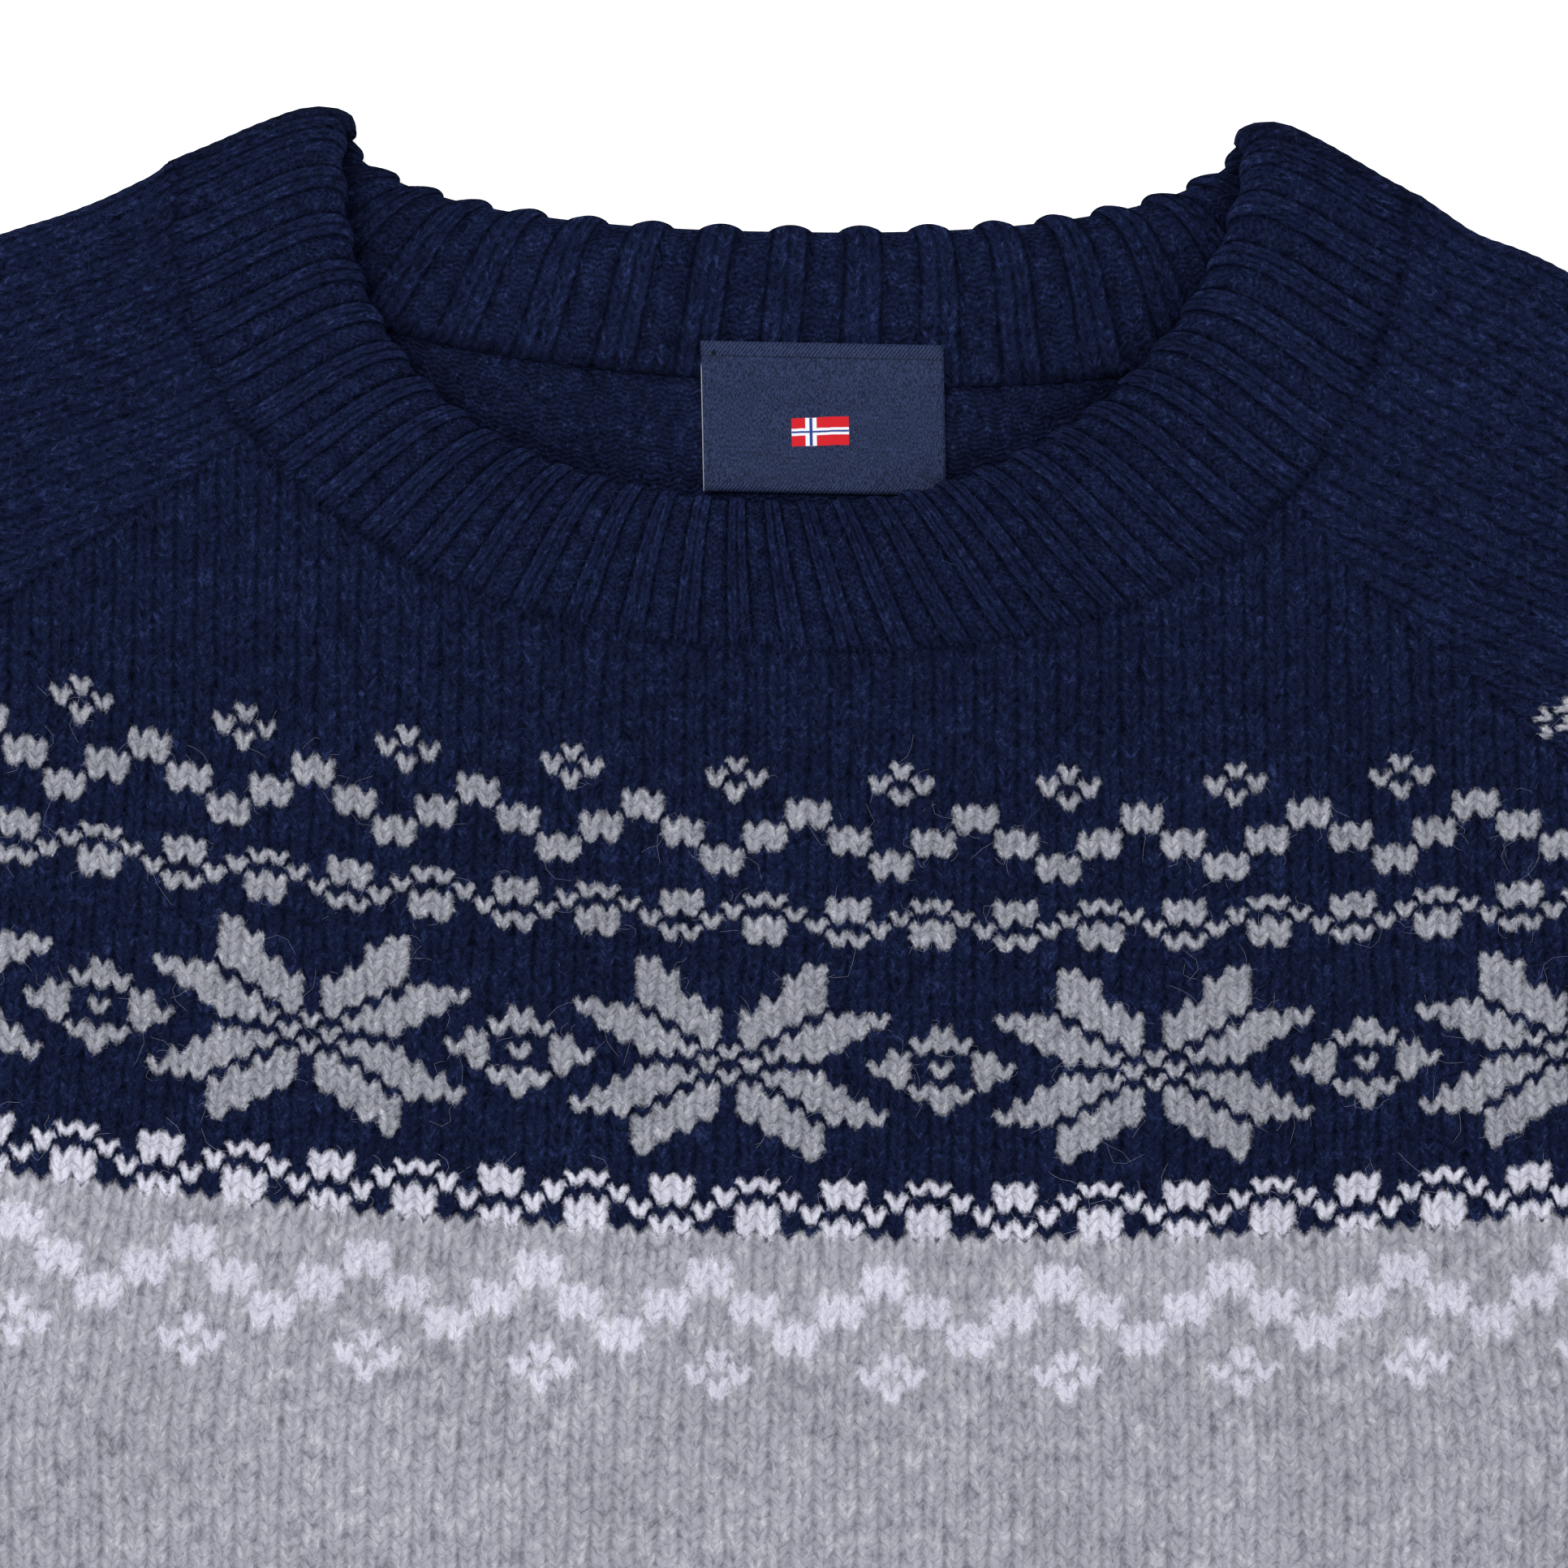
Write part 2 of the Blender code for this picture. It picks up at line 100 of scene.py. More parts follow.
def laid(points):  # shears the neck round by turnPerX x and moves the plan to the origin
    x, y = points[..., 0], points[..., 1]
    reach = np.where(y > cloth["turnY"], cloth["turnReachUp"], cloth["turnReachDown"])
    near = 1 / (1 + ((y - cloth["turnY"]) / reach)**2)
    nearMiddle = 1 / (1 + (x / cloth["turnSide"])**4)
    movedX = x + nearMiddle * (cloth["turnOffset"] + cloth["turnShift"] * near)
    movedY = y - nearMiddle * near * cloth["turnPerX"] * x - cloth["planMiddleY"]
    return np.concatenate([np.stack([movedX, movedY], -1), points[..., 2:]], axis=-1)


def foldRise(x, y):  # sum of bells, exp(-(along / length)^2 - (across / width)^2)
    rise = np.zeros_like(x * y)
    for fx, fy, heading, length, width, high in cloth["folds"]:
        heading = math.radians(heading)
        along = (x - fx) * math.cos(heading) + (y - fy) * math.sin(heading)
        across = (y - fy) * math.cos(heading) - (x - fx) * math.sin(heading)
        rise += high * np.exp(-(along / length)**2 - (across / width)**2)
    return rise


def turnDown(inset, radius):  # quarter circle of the outer radius, down to the middle plane
    short = np.clip(cloth["outerTurn"] - inset, 0, cloth["outerTurn"]) * radius / cloth["outerTurn"]
    return np.maximum(np.sqrt(np.maximum(radius**2 - short**2, 0)), cloth["thinnest"])


knit = {
    "vSlope": 0.68,        # rows that a leg of a stitch rises across its half of the column
    "relief": 0.4,         # height of a leg over its grooves
    "edgeLean": 0.68,      # how far a contrast stitch keeps its side edges
    "blunt": 0.17,         # how far the tips of a contrast V are rounded off
    "uneven": 0.2,         # how far the tension moves a stitch
    "overlap": 0.6,        # how far two knitted edges run past each other in a seam
    "seamSink": 0.35,      # how far the stitches beside a seam sink
    "seamLight": 0.72,     # light left beside a seam
    "mixed": 0.1,          # how far the edge of a contrast yarn wavers
    "plainStep": 6.0,      # rows between two lines of points where the knit is one colour
    "shadedRows": 1.96,    # rows of the inner face that are shaded beside the neck seam
}
sameCount = 0.01           # two counts of stitches nearer than this are one


def wobble(u, v, seed):  # uneven tension: a sum of sine waves, 1.3 to 8 stitches long
    waves = np.random.default_rng(seed)
    total = 0.0
    for k in range(10):
        length, turn, phase = (waves.uniform(1.3, 8), waves.uniform(0, np.pi),
                               waves.uniform(0, 2 * np.pi))
        along = u * math.cos(turn) + 0.58 * v * math.sin(turn)
        total = total + np.sin(along * 2 * np.pi / length + phase)
    return total / 3.2


# Charts, one string per row, X for the contrast yarn
charts = {
    "flower": [".X.", "X.X", ".X."],
    "zigzag": [
        "...XX...", "...XX...", ".XX..XX.", ".XX..XX.", "X......X", "X......X",
    ],
    "braid": ["XX..XX..", "XX.X..X.", "..X.XX.X", "XX..XX.."],
    "eye": ["...X...", "..XXX..", ".X...X.", "XX.X.XX", ".X...X.", "..XXX..", "...X..."],
    "star": [
        "...X.......X...", "...XX.....XX...", "...XX.....XX...", "...XXX...XXX...",
        "XXX.XXX.XXX.XXX", ".XXX.XX.XX.XXX.", "..XXX.X.X.XXX..", "...XXX.X.XXX...",
        "......X.X......", "...XXX.X.XXX...", "..XXX.X.X.XXX..", ".XXX.XX.XX.XXX.",
        "XXX.XXX.XXX.XXX", "...XXX...XXX...", "...XX.....XX...", "...X.......X...",
    ],
}
# Bands down the yoke: chart, first row, column of the chart's left edge, repeat in columns
bands = [
    ("flower", -2, -1, 8), ("zigzag", 1, -8, 8), ("braid", 9, -3, 8),
    ("star", 15, -7, 20), ("eye", 20, 7, 20), ("braid", 33, -3, 8),
    ("zigzag", 39, -4, 8), ("flower", 45, -1, 8),
]
yoke = {"firstRow": -2, "lastRow": 47, "firstMelange": 37, "firstWhite": 33, "repeat": 40,
        "flowersTo": 37}       # no flower is started nearer to the raglans than this column


def yokeChart():  # rows by columns, 1 where the contrast yarn shows
    chart = np.zeros((yoke["lastRow"] - yoke["firstRow"] + 1, yoke["repeat"]))
    for name, firstRow, firstColumn, repeat in bands:
        cells = np.array([[c == "X" for c in row] for row in charts[name]], float)
        for start in range(0, yoke["repeat"], repeat):
            columns = (np.arange(cells.shape[1]) + firstColumn + start) % yoke["repeat"]
            rows = np.arange(len(cells)) + firstRow - yoke["firstRow"]
            chart[np.ix_(rows, columns)] = np.maximum(chart[np.ix_(rows, columns)], cells)
    return chart


chart = yokeChart()


def cellValues(column, row):  # contrast, melange ground and white contrast of whole stitches
    inside = (row >= yoke["firstRow"]) & (row <= yoke["lastRow"])
    inside = inside & ((row > 0) | (np.abs(column) < yoke["flowersTo"]))
    r = np.clip(row - yoke["firstRow"], 0, len(chart) - 1)
    contrast = np.where(inside, chart[r, column % yoke["repeat"]], 0)
    ground = (row >= yoke["firstMelange"]).astype(float)
    return np.stack([contrast, ground, (row >= yoke["firstWhite"]).astype(float)], axis=-1)


def yarnValues(u, rows):
    # Colours at the corners of the stitch legs: a leg's middle has its own, an edge between
    # rows the mean of both, an edge between columns leans to the contrast side
    half = np.round(u * 2).astype(int)                  # odd on the edge between two columns
    onHalf = np.abs(u * 2 - half) < sameCount
    onRow = np.abs(rows - np.round(rows)) < sameCount
    onEdge = onHalf & (half % 2 != 0)
    left = np.where(onEdge, np.floor(u), np.round(u)).astype(int)
    above = np.where(onRow, np.round(rows), np.ceil(rows)).astype(int)
    sides, uppers = [], []
    for column in (left, left + onEdge):
        upper, lower = (cellValues(*np.meshgrid(column, row, indexing="ij"))
                        for row in (above, above + onRow))
        sides.append((upper + lower) / 2)
        uppers.append(upper[..., 0])
    values = knit["edgeLean"] * np.maximum(*sides) + (1 - knit["edgeLean"]) * np.minimum(*sides)
    # stitches that only touch at a corner stay apart, further on navy than on melange
    apart = (sides[0][..., 0] == 0.5) & (sides[1][..., 0] == 0.5) & (uppers[0] != uppers[1])
    values[..., 0] = np.where(apart, np.where(values[..., 1] < 0.5, 0.1, 0.34), values[..., 0])
    # the tips of the V's, in a column's middle and on its edge, give way between two rows
    tip = np.where(onHalf, -1.0, 0.5)[:, None]
    c = values[..., 0]
    values[..., 0] = c + knit["blunt"] * tip * 4 * c * (1 - c) * onRow
    return values


def legHeight(u, rows):  # 1 in the middle of a leg, half in a V's middle, 0 between columns
    across = np.sin(2 * np.pi * u)**2 + 0.45 * np.cos(np.pi * u)**2 * np.cos(2 * np.pi * u)**2
    along = np.sin(np.pi * rows)**2
    return across[:, None] * (0.72 + 0.28 * along)[None, :]


def legRise(u):  # rows that the legs of a V rise, from a column's middle to its edges
    return knit["vSlope"] * 2 * np.abs(u - np.round(u))


def zipChains(one, two, placeOne, placeTwo):  # triangles between two rows of points
    near = np.searchsorted((placeTwo[1:] + placeTwo[:-1]) / 2, placeOne)
    tris = [np.stack([one[:-1], one[1:], two[near[:-1]]], axis=1)]
    for k in np.flatnonzero(np.diff(near)):
        for m in range(near[k], near[k + 1]):
            tris.append(np.array([[one[k + 1], two[m + 1], two[m]]]))
    return np.concatenate(tris)


def gridTris(number, turned=True):
    # Two triangles for each square of a grid of point numbers, which is split from its first
    # corner where turned, and from the next one elsewhere
    a, b, c, d = number[:-1, :-1], number[1:, :-1], number[1:, 1:], number[:-1, 1:]
    turned = np.broadcast_to(turned, a.shape)[..., None]
    return [np.where(turned, np.stack([a, d, c], -1), np.stack([a, d, b], -1)).reshape(-1, 3),
            np.where(turned, np.stack([a, c, b], -1), np.stack([d, c, b], -1)).reshape(-1, 3)]


def stripTris(one, two):  # triangles between two rows of as many points
    return [np.stack([one[:-1], one[1:], two[1:]], -1), np.stack([one[:-1], two[1:], two[:-1]], -1)]


def rawMesh(name, points, tris):  # points in mm, triangles as point numbers
    mesh = bpy.data.meshes.new(name)
    mesh.vertices.add(len(points))
    mesh.vertices.foreach_set("co", (points / 1000).astype(np.float32).ravel())
    mesh.loops.add(tris.size)
    mesh.loops.foreach_set("vertex_index", tris.ravel().astype(np.int32))
    mesh.polygons.add(tris.size // 3)
    mesh.polygons.foreach_set("loop_start", np.arange(0, tris.size, 3, dtype=np.int32))
    mesh.update(calc_edges=True)
    return mesh


def linked(name, data):  # an object in the scene for a mesh, lamp or camera
    made = bpy.data.objects.new(name, data)
    bpy.context.scene.collection.objects.link(made)
    return made


def pieceOf(mesh):  # a smooth-shaded piece that rides on the one body
    mesh.shade_smooth()
    piece = linked(mesh.name, mesh)
    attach(piece, "root")
    print(f"{mesh.name}: {len(mesh.polygons)} triangles")
    return piece


def buildMesh(name, points, tris, uv, yarn, purl, material, nodes):
    # A piece whose points at one place become one, with its stitch counts, yarns and purl
    _, first, same = np.unique(np.round(points, 4), axis=0, return_index=True, return_inverse=True)
    joined = same.reshape(-1)[tris]
    real = (joined != np.roll(joined, 1, axis=1)).all(axis=1)     # not shrunk to a line
    joined, tris = joined[real], tris[real]
    used, joined = np.unique(joined, return_inverse=True)
    joined = joined.reshape(-1, 3)
    mesh = rawMesh(name, points[first[used]], joined)
    layer = mesh.uv_layers.new(name="stitches")
    layer.uv.foreach_set("vector", uv[tris].reshape(-1, 2).astype(np.float32).ravel())
    # the yarn attribute holds the yarn shares in its colour and the painted shade in its alpha
    colour = mesh.attributes.new("yarn", "FLOAT_COLOR", "POINT")
    colour.data.foreach_set("color", yarn[first[used]].astype(np.float32).ravel())
    back = mesh.attributes.new("purl", "FLOAT", "POINT")
    back.data.foreach_set("value", purl[first[used]].astype(np.float32))
    bm = bmesh.new()
    bm.from_mesh(mesh)
    bmesh.ops.recalc_face_normals(bm, faces=bm.faces)
    bm.to_mesh(mesh)
    bm.free()
    mesh.materials.append(material)
    piece = pieceOf(mesh)
    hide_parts(*nodes)
    return piece


neckband = {
    # free edge of the front half, left and right of the middle, and of the back half
    "freeHalf": 92, "freeDrop": 79.5, "freeSquare": (2.45, 2.0),
    "backFreeHalf": 92, "backFreeDrop": 22.5, "backFreeSquare": 2.4, "backTilt": 0.02,
    "lift": 5.0,                               # how far the front half's free edge stands up
    # how far the folded tips are rounded off and stand up, and the share of the depth where
    # that starts; the heading of a tip's fold on the seam and how far it turns to the free edge
    "tipTrim": 6.0, "tipReach": 2.8, "tipFrom": 0.7, "tipHeading": 68, "tipTurn": 60,
    "frontRibs": 32, "backRibs": 17,
    "frontLean": 0.03, "backLean": -0.04,      # how far the ribs lean towards the middle
    "frontRise": 0.66, "backRise": 0.58,
    "frontShade": 0.5, "backShade": 0.44, "stitchShade": 0.3, "purlHeight": 0.7,
    "frontScallop": 0.8, "backScallop": 1.4, "scallopFrom": 0.84,
    "edgeThin": 0.4, "edgeLight": 0.55,        # beside the seam
    "underShade": 0.36, "underReach": 5.0,     # the shade that the lifted front edge casts
    "rows": 12, "seamToEdge": 30.0,
}


surfaces = []    # outer points and yarns of the finished pieces, where loose fibres stand


def freeEdge():  # free edge of the front half of the neckband, rounder to the right
    left, right = (halfOval(neckband["freeHalf"], neckband["freeDrop"], square, 0)
                   for square in neckband["freeSquare"])
    return np.concatenate([left[:401], right[401:]])


def paintedBandShadow(points):  # painted shadow: the back darkens under the lifted front edge, exp(-distance / reach)
    edge = laid(freeEdge())
    x, y = points[..., 0], points[..., 1]
    middle = np.array([edge[400, 0], edge[0, 1]])
    angle = np.arctan2(middle[1] - y, x - middle[0])
    edgeAngle = np.arctan2(middle[1] - edge[:, 1], edge[:, 0] - middle[0])
    reach = np.hypot(edge[:, 0] - middle[0], edge[:, 1] - middle[1])
    order = np.argsort(edgeAngle)
    inside = np.interp(angle, edgeAngle[order], reach[order])
    inside = np.maximum(inside - np.hypot(x - middle[0], y - middle[1]), 0)
    return 1 - neckband["underShade"] * np.exp(-inside / neckband["underReach"])


def knitWall(name, u, rows, limits, outer, inner, innerShares, relief, material, nodes,
             yarn=None):
    # A closed wall of stitches. u counts columns and rows counts rows down; both faces come from
    # place(u, v, height). The legs' rise shears the rows, and limits cut each column at a seam.
    # relief(u, v) gives a height in mm, a shade and a share of purl for the outer face.
    first, last = limits
    v = rows[None, :] - legRise(u)[:, None]
    start = np.maximum((v <= first[:, None]).sum(1) - 1, 0)
    end = np.minimum(len(rows) - (v >= last[:, None]).sum(1), len(rows) - 1)
    end = np.maximum(end, start)
    v = np.clip(v, first[:, None], last[:, None])
    column = np.arange(len(u))
    step = np.arange(len(rows))
    held = np.clip(step[None, :], start[:, None], end[:, None])     # rows past a seam stay on it
    number = column[:, None] * len(rows) + held
    uGrid = np.broadcast_to(u[:, None], v.shape)
    edge = np.minimum(v - first[:, None], last[:, None] - v)
    lift, shade, purl = relief(uGrid, v)
    bumps = (legHeight(u, rows) - 0.6) * knit["relief"] * (1 - purl)
    bumps = bumps * (1 + 0.3 * wobble(uGrid, v, 3)) * np.clip(edge / 0.7, 0, 1)
    sunk = knit["seamSink"] * (1 - smoothStep(edge / 1.1))
    outerPoints = outer(uGrid, v, bumps - sunk + lift)
    # painted shade: beside a seam the stitches keep only seamLight of their light
    fromSeam = smoothStep(edge / 1.6 + 0.2 * wobble(uGrid, v, 6))
    shade = shade * (knit["seamLight"] + (1 - knit["seamLight"]) * fromSeam)
    vInner = first[:, None] + innerShares[None, :] * (last - first)[:, None]
    uInner = np.broadcast_to(u[:, None], vInner.shape)
    innerPoints = inner(uInner, vInner, 0 * vInner)
    offset = outerPoints.shape[0] * outerPoints.shape[1]
    innerNumber = offset + column[:, None] * len(innerShares) + np.arange(len(innerShares))[None, :]
    # each square is split through the corner that lies on the edge of a leg and of a row
    edgeU = np.abs(u * 2 - np.round(u * 2)) < sameCount
    edgeV = np.abs(rows - np.round(rows)) < sameCount
    turned = (edgeU[:-1, None] & edgeV[None, :-1]) | (edgeU[1:, None] & edgeV[None, 1:])
    tris = gridTris(number, turned) + gridTris(innerNumber)
    tris += stripTris(number[column, start], innerNumber[:, 0])
    tris += stripTris(number[column, end], innerNumber[:, -1])
    for k in (0, -1):
        chain = number[k, start[k]:end[k] + 1]
        if len(chain) > 1:
            tris.append(zipChains(chain, innerNumber[k], v[k, start[k]:end[k] + 1], vInner[k]))
    points = np.concatenate([outerPoints.reshape(-1, 3), innerPoints.reshape(-1, 3)])
    uv = np.concatenate([np.stack([uGrid, v], -1).reshape(-1, 2),
                         np.stack([uInner, vInner], -1).reshape(-1, 2)])
    if yarn is None:
        colours = yarnValues(u, rows)[column[:, None], held]
        uneven = knit["mixed"] * wobble(uGrid * 3, v * 3, 5) * (colours[..., 0] > 0.05)
        colours = colours + uneven[..., None] * (1, 0.6, 0)
        innerColours = cellValues(np.round(uInner).astype(int), np.ceil(vInner).astype(int))
        innerColours[..., 0] = 0        # the contrast yarn hardly shows inside
    else:
        colours = np.broadcast_to(yarn, v.shape + (3,))
        innerColours = np.broadcast_to(yarn, vInner.shape + (3,))
    # painted shade: the inner face darkens beside the neck seam and under the lifted front edge
    fromTop = (vInner - first[:, None]) / knit["shadedRows"]
    innerShade = 0.5 + 0.5 * smoothStep(fromTop + 0.2 * wobble(uInner * 2, vInner, 7))
    innerShade = innerShade * paintedBandShadow(innerPoints)
    shaded = lambda colours, light: np.concatenate([colours, light[..., None]], -1).reshape(-1, 4)
    colours = np.concatenate([shaded(colours, shade + 0 * v), shaded(innerColours, innerShade)])
    purl = np.concatenate([(purl + 0 * v).ravel(), np.ones(vInner.size)])
    kept = (edge > 0.5) & (held == step[None, :])
    surfaces.append((name, outerPoints[kept], colours[:offset].reshape(v.shape + (4,))[kept]))
    return buildMesh(name, points, np.concatenate(tris), uv, colours, purl, material, nodes)


def hexToLinear(code):  # sRGB hex to linear, ((c + 0.055) / 1.055)^2.4
    parts = [int(code[k:k + 2], 16) / 255 for k in (1, 3, 5)]
    return [p / 12.92 if p <= 0.04045 else ((p + 0.055) / 1.055)**2.4 for p in parts] + [1.0]


def addNode(tree, kind, links=None, **settings):  # links holds a socket or a value per input
    node = tree.nodes.new("ShaderNode" + kind)
    for key, value in settings.items():
        setattr(node, key, value)
    for socket, value in (links or {}).items():
        if isinstance(value, bpy.types.NodeSocket):
            tree.links.new(value, node.inputs[socket])
        else:
            node.inputs[socket].default_value = value
    return node


def newMaterial(name):  # with an empty node tree
    material = bpy.data.materials.new(name)
    material.use_nodes = True
    material.node_tree.nodes.clear()
    return material, material.node_tree


def finishMaterial(tree, inputs):  # one shader with these inputs, to the output
    shader = addNode(tree, "BsdfPrincipled", inputs)
    addNode(tree, "OutputMaterial", {0: shader.outputs[0]})


def mathNodes(tree):  # a + b, a - b, a b, a b + c, the larger, the size, the part past the point
    make = lambda kind: lambda a, b=0.0, c=0.0: addNode(
        tree, "Math", {0: a, 1: b, 2: c}, operation=kind).outputs[0]
    kinds = "ADD", "SUBTRACT", "MULTIPLY", "MULTIPLY_ADD", "MAXIMUM", "ABSOLUTE", "FRACT"
    return map(make, kinds)


wool = {
    "navyDeep": "#090d1c", "navy": "#161d38", "navyLight": "#2c3862",
    "greyDeep": "#777881", "grey": "#a3a4ad", "greyLight": "#d0d0d8",
    "whiteDeep": "#c0bfcf", "white": "#dad9e7", "whiteLight": "#eeedf7",
    "melangeDeep": "#85868f", "melange": "#a7a7b0", "melangeLight": "#c3c3c8",
    "fuzz": 0.5,           # how far loose fibres break up the edge of a colour
    "threshold": 0.475,    # below 0.5 a contrast yarn spreads over the ground, above it shrinks
    "soft": 0.3,
    "haze": 0.2,           # how far fibres of the contrast yarn cover the ground beside it
    "driftScale": 230.0, "driftAcross": 0.45, "driftAlong": 0.9,
    # light left between the legs of a V and between rows, patterned and plain melange, and
    # taken between columns, dark and pale yarn
    "legGroove": 0.79, "rowGroove": 0.76, "plainLegGroove": 0.89, "plainRowGroove": 0.86,
    "columnGroove": 0.42, "paleColumnGroove": 0.23,
    "matted": 0.7,         # how far the grooves close where a contrast yarn lies on melange
    "tuftScale": 820.0, "fineScale": 2300.0, "patchScale": 300.0, "cloudScale": 26.0,
    "bump": 0.0008,
}


def brushedWool(name):
    # Brushed lambswool, knitted plain: each stitch is a V of two soft legs, matt, with a halo of
    # loose fibres that blurs the edge between two colours. Purl shows as low waves.
    material, tree = newMaterial(name)
    n = lambda kind, links=None, **settings: addNode(tree, kind, links, **settings).outputs[0]
    plus, minus, times, timesPlus, most, absolute, fraction = mathNodes(tree)
    split = addNode(tree, "SeparateXYZ", {0: addNode(tree, "UVMap", uv_map="stitches").outputs[0]})
    u, v = split.outputs[0], split.outputs[1]
    yarn = addNode(tree, "Attribute", attribute_name="yarn")
    parts = addNode(tree, "SeparateColor", {0: yarn.outputs["Color"]})
    contrast, ground, light = parts.outputs[:3]
    shade = yarn.outputs["Alpha"]
    purl = addNode(tree, "Attribute", attribute_name="purl").outputs["Fac"]
    place = addNode(tree, "TexCoord").outputs["Object"]

    def ramp(value, low, high, toLow=0.0, toHigh=1.0):
        return n("MapRange", {0: value, 1: low, 2: high, 3: toLow, 4: toHigh},
                 interpolation_type="SMOOTHSTEP")

    def blend(share, one, two, kind="MIX"):
        return addNode(tree, "Mix", {0: share, 6: one, 7: two}, data_type="RGBA",
                       blend_type=kind).outputs[2]

    def between(share, one, two):
        return n("MapRange", {0: share, 1: 0.0, 2: 1.0, 3: one, 4: two})

    # uneven tension moves the legs by up to a tenth of a column and a fifth of a row
    drift = addNode(tree, "TexNoise", {"Vector": place, "Scale": wool["driftScale"], "Detail": 2.0})
    drifts = addNode(tree, "SeparateColor", {0: drift.outputs["Color"]})
    u = timesPlus(minus(drifts.outputs[0], 0.5), wool["driftAcross"], u)
    v = timesPlus(minus(drifts.outputs[1], 0.5), wool["driftAlong"], v)
    across = times(absolute(minus(fraction(plus(u, 0.5)), 0.5)), 2.0)
    leg = timesPlus(across, knit["vSlope"], v)
    fromLeg = timesPlus(fraction(leg), 2.0, -1.0)
    legRound = minus(1.0, times(fromLeg, fromLeg))
    # a leg is fuller outwards at its top and inwards at its foot
    fromMiddle = timesPlus(fromLeg, 0.32, timesPlus(across, 2.0, -1.0))
    sideRound = minus(1.0, times(fromMiddle, fromMiddle))
    betweenColumns = ramp(minus(1.0, across), 0.0, 0.5)
    betweenLegs = ramp(across, 0.0, 0.34)
    betweenRows = ramp(legRound, 0.0, 0.6)
    # purl shows two arcs to a row
    arcs = n("Math", {0: times(u, 2 * math.pi)}, operation="COSINE")
    wave = plus(times(v, 2.0), times(arcs, 0.3))
    fromWave = timesPlus(fraction(wave), 2.0, -1.0)
    waveRound = minus(1.0, times(fromWave, fromWave))

    # fibres: soft tufts about 1 mm across, streaks along each leg, larger patches and smudges
    tuft = n("TexNoise", {"Vector": place, "Scale": wool["tuftScale"], "Detail": 2.6,
                          "Roughness": 0.56, "Distortion": 0.9})
    steep = plus(timesPlus(across, 1.9, v), times(tuft, 0.7))
    streakPlace = n("CombineXYZ", {0: times(steep, 2.2), 1: times(v, 0.55), 2: times(u, 0.9)})
    streak = n("TexNoise", {"Vector": streakPlace, "Scale": 1.0, "Detail": 1.6, "Roughness": 0.5})
    fluff = n("TexNoise", {"Vector": place, "Scale": wool["fineScale"], "Detail": 1.0})
    patch = n("TexNoise", {"Vector": place, "Scale": wool["patchScale"], "Detail": 2.0,
                           "Distortion": 0.6})
    smudgePlace = n("CombineXYZ", {0: times(u, 2.1), 1: times(v, 0.5), 2: 0.0})
    smudge = n("TexNoise", {"Vector": smudgePlace, "Scale": 1.0, "Detail": 2.0, "Distortion": 0.4})
    cloud = n("TexNoise", {"Vector": place, "Scale": wool["cloudScale"], "Detail": 3.0,
                           "Roughness": 0.6})

    def weigh(pairs, start):  # start + sum of weight x (noise - 0.5)
        total = start
        for value, weight in pairs:
            total = timesPlus(minus(value, 0.5), weight, total)
        return total

    def threeShades(base, share):
        deep, middle, bright = (hexToLinear(wool[base + part]) for part in ("Deep", "", "Light"))
        return blend(ramp(share, 0.5, 1.0), blend(ramp(share, 0.0, 0.5), deep, middle), bright)

    strands = weigh([(tuft, 1.35), (streak, 0.95), (fluff, 0.4), (patch, 0.5)], 0.47)
    specks = weigh([(patch, 1.5), (smudge, 0.8), (tuft, 0.75), (streak, 0.65)], 0.49)
    fuzz = wool["fuzz"]
    edge = weigh([(tuft, fuzz), (fluff, 0.7 * fuzz), (streak, 0.6 * fuzz)], 0.0)
    low, high = wool["threshold"] - wool["soft"], wool["threshold"] + wool["soft"]
    under = blend(ramp(plus(ground, edge), low, high),
                  threeShades("navy", strands), threeShades("melange", specks))
    over = blend(ramp(light, 0.3, 0.7), threeShades("grey", strands), threeShades("white", strands))
    haze = times(ramp(timesPlus(edge, 2.0, contrast), 0.05, 0.6),
                 ramp(contrast, 0.22, 0.45, 0.0, wool["haze"]))
    onMelange = ramp(ground, 0.4, 0.7)
    felted = ramp(plus(contrast, edge), between(onMelange, low, low - 0.2),
                  between(onMelange, high, high - 0.12), 0.0, between(onMelange, 1.0, 0.88))
    cover = most(felted, haze)
    coloured = blend(cover, under, over)
    pale = most(cover, onMelange)
    plain = times(onMelange, minus(1.0, cover))
    # a pale yarn lets more light into its grooves
    groove = between(pale, wool["columnGroove"], wool["paleColumnGroove"])
    columnDim = minus(1.0, times(groove, minus(1.0, betweenColumns)))
    inLegs = between(plain, wool["legGroove"], wool["plainLegGroove"])
    inRows = between(plain, wool["rowGroove"], wool["plainRowGroove"])
    legDim = times(between(betweenLegs, inLegs, 1.0), between(betweenRows, inRows, 1.0))
    matted = times(times(onMelange, cover), wool["matted"])
    knitDim = between(matted, times(columnDim, legDim), 0.97)
    # painted shade: the colour darkens in the grooves between columns, legs and rows, by the shade
    # each piece carries, and with a broad noise
    dim = plus(times(knitDim, minus(1.0, purl)), times(between(waveRound, 0.66, 1.0), purl))
    dim = times(times(dim, shade), ramp(cloud, 0.3, 0.7, 0.94, 1.08))
    final = blend(1.0, coloured, n("CombineColor", {0: dim, 1: dim, 2: dim}), "MULTIPLY")
    knitHeight = plus(times(sideRound, 0.35), times(legRound, 0.2))
    legs = plus(times(knitHeight, minus(1.0, purl)),
                times(times(waveRound, 0.5), purl))
    height = weigh([(streak, 0.6), (tuft, 0.8), (fluff, 0.15)], legs)
    bump = n("Bump", {"Height": height, "Distance": wool["bump"], "Strength": 0.8})
    finishMaterial(tree, {"Base Color": final, "Normal": bump, "Roughness": 0.95,
                          "Specular IOR Level": 0.02})
    return material


woolKnit = brushedWool("brushedWoolKnit")

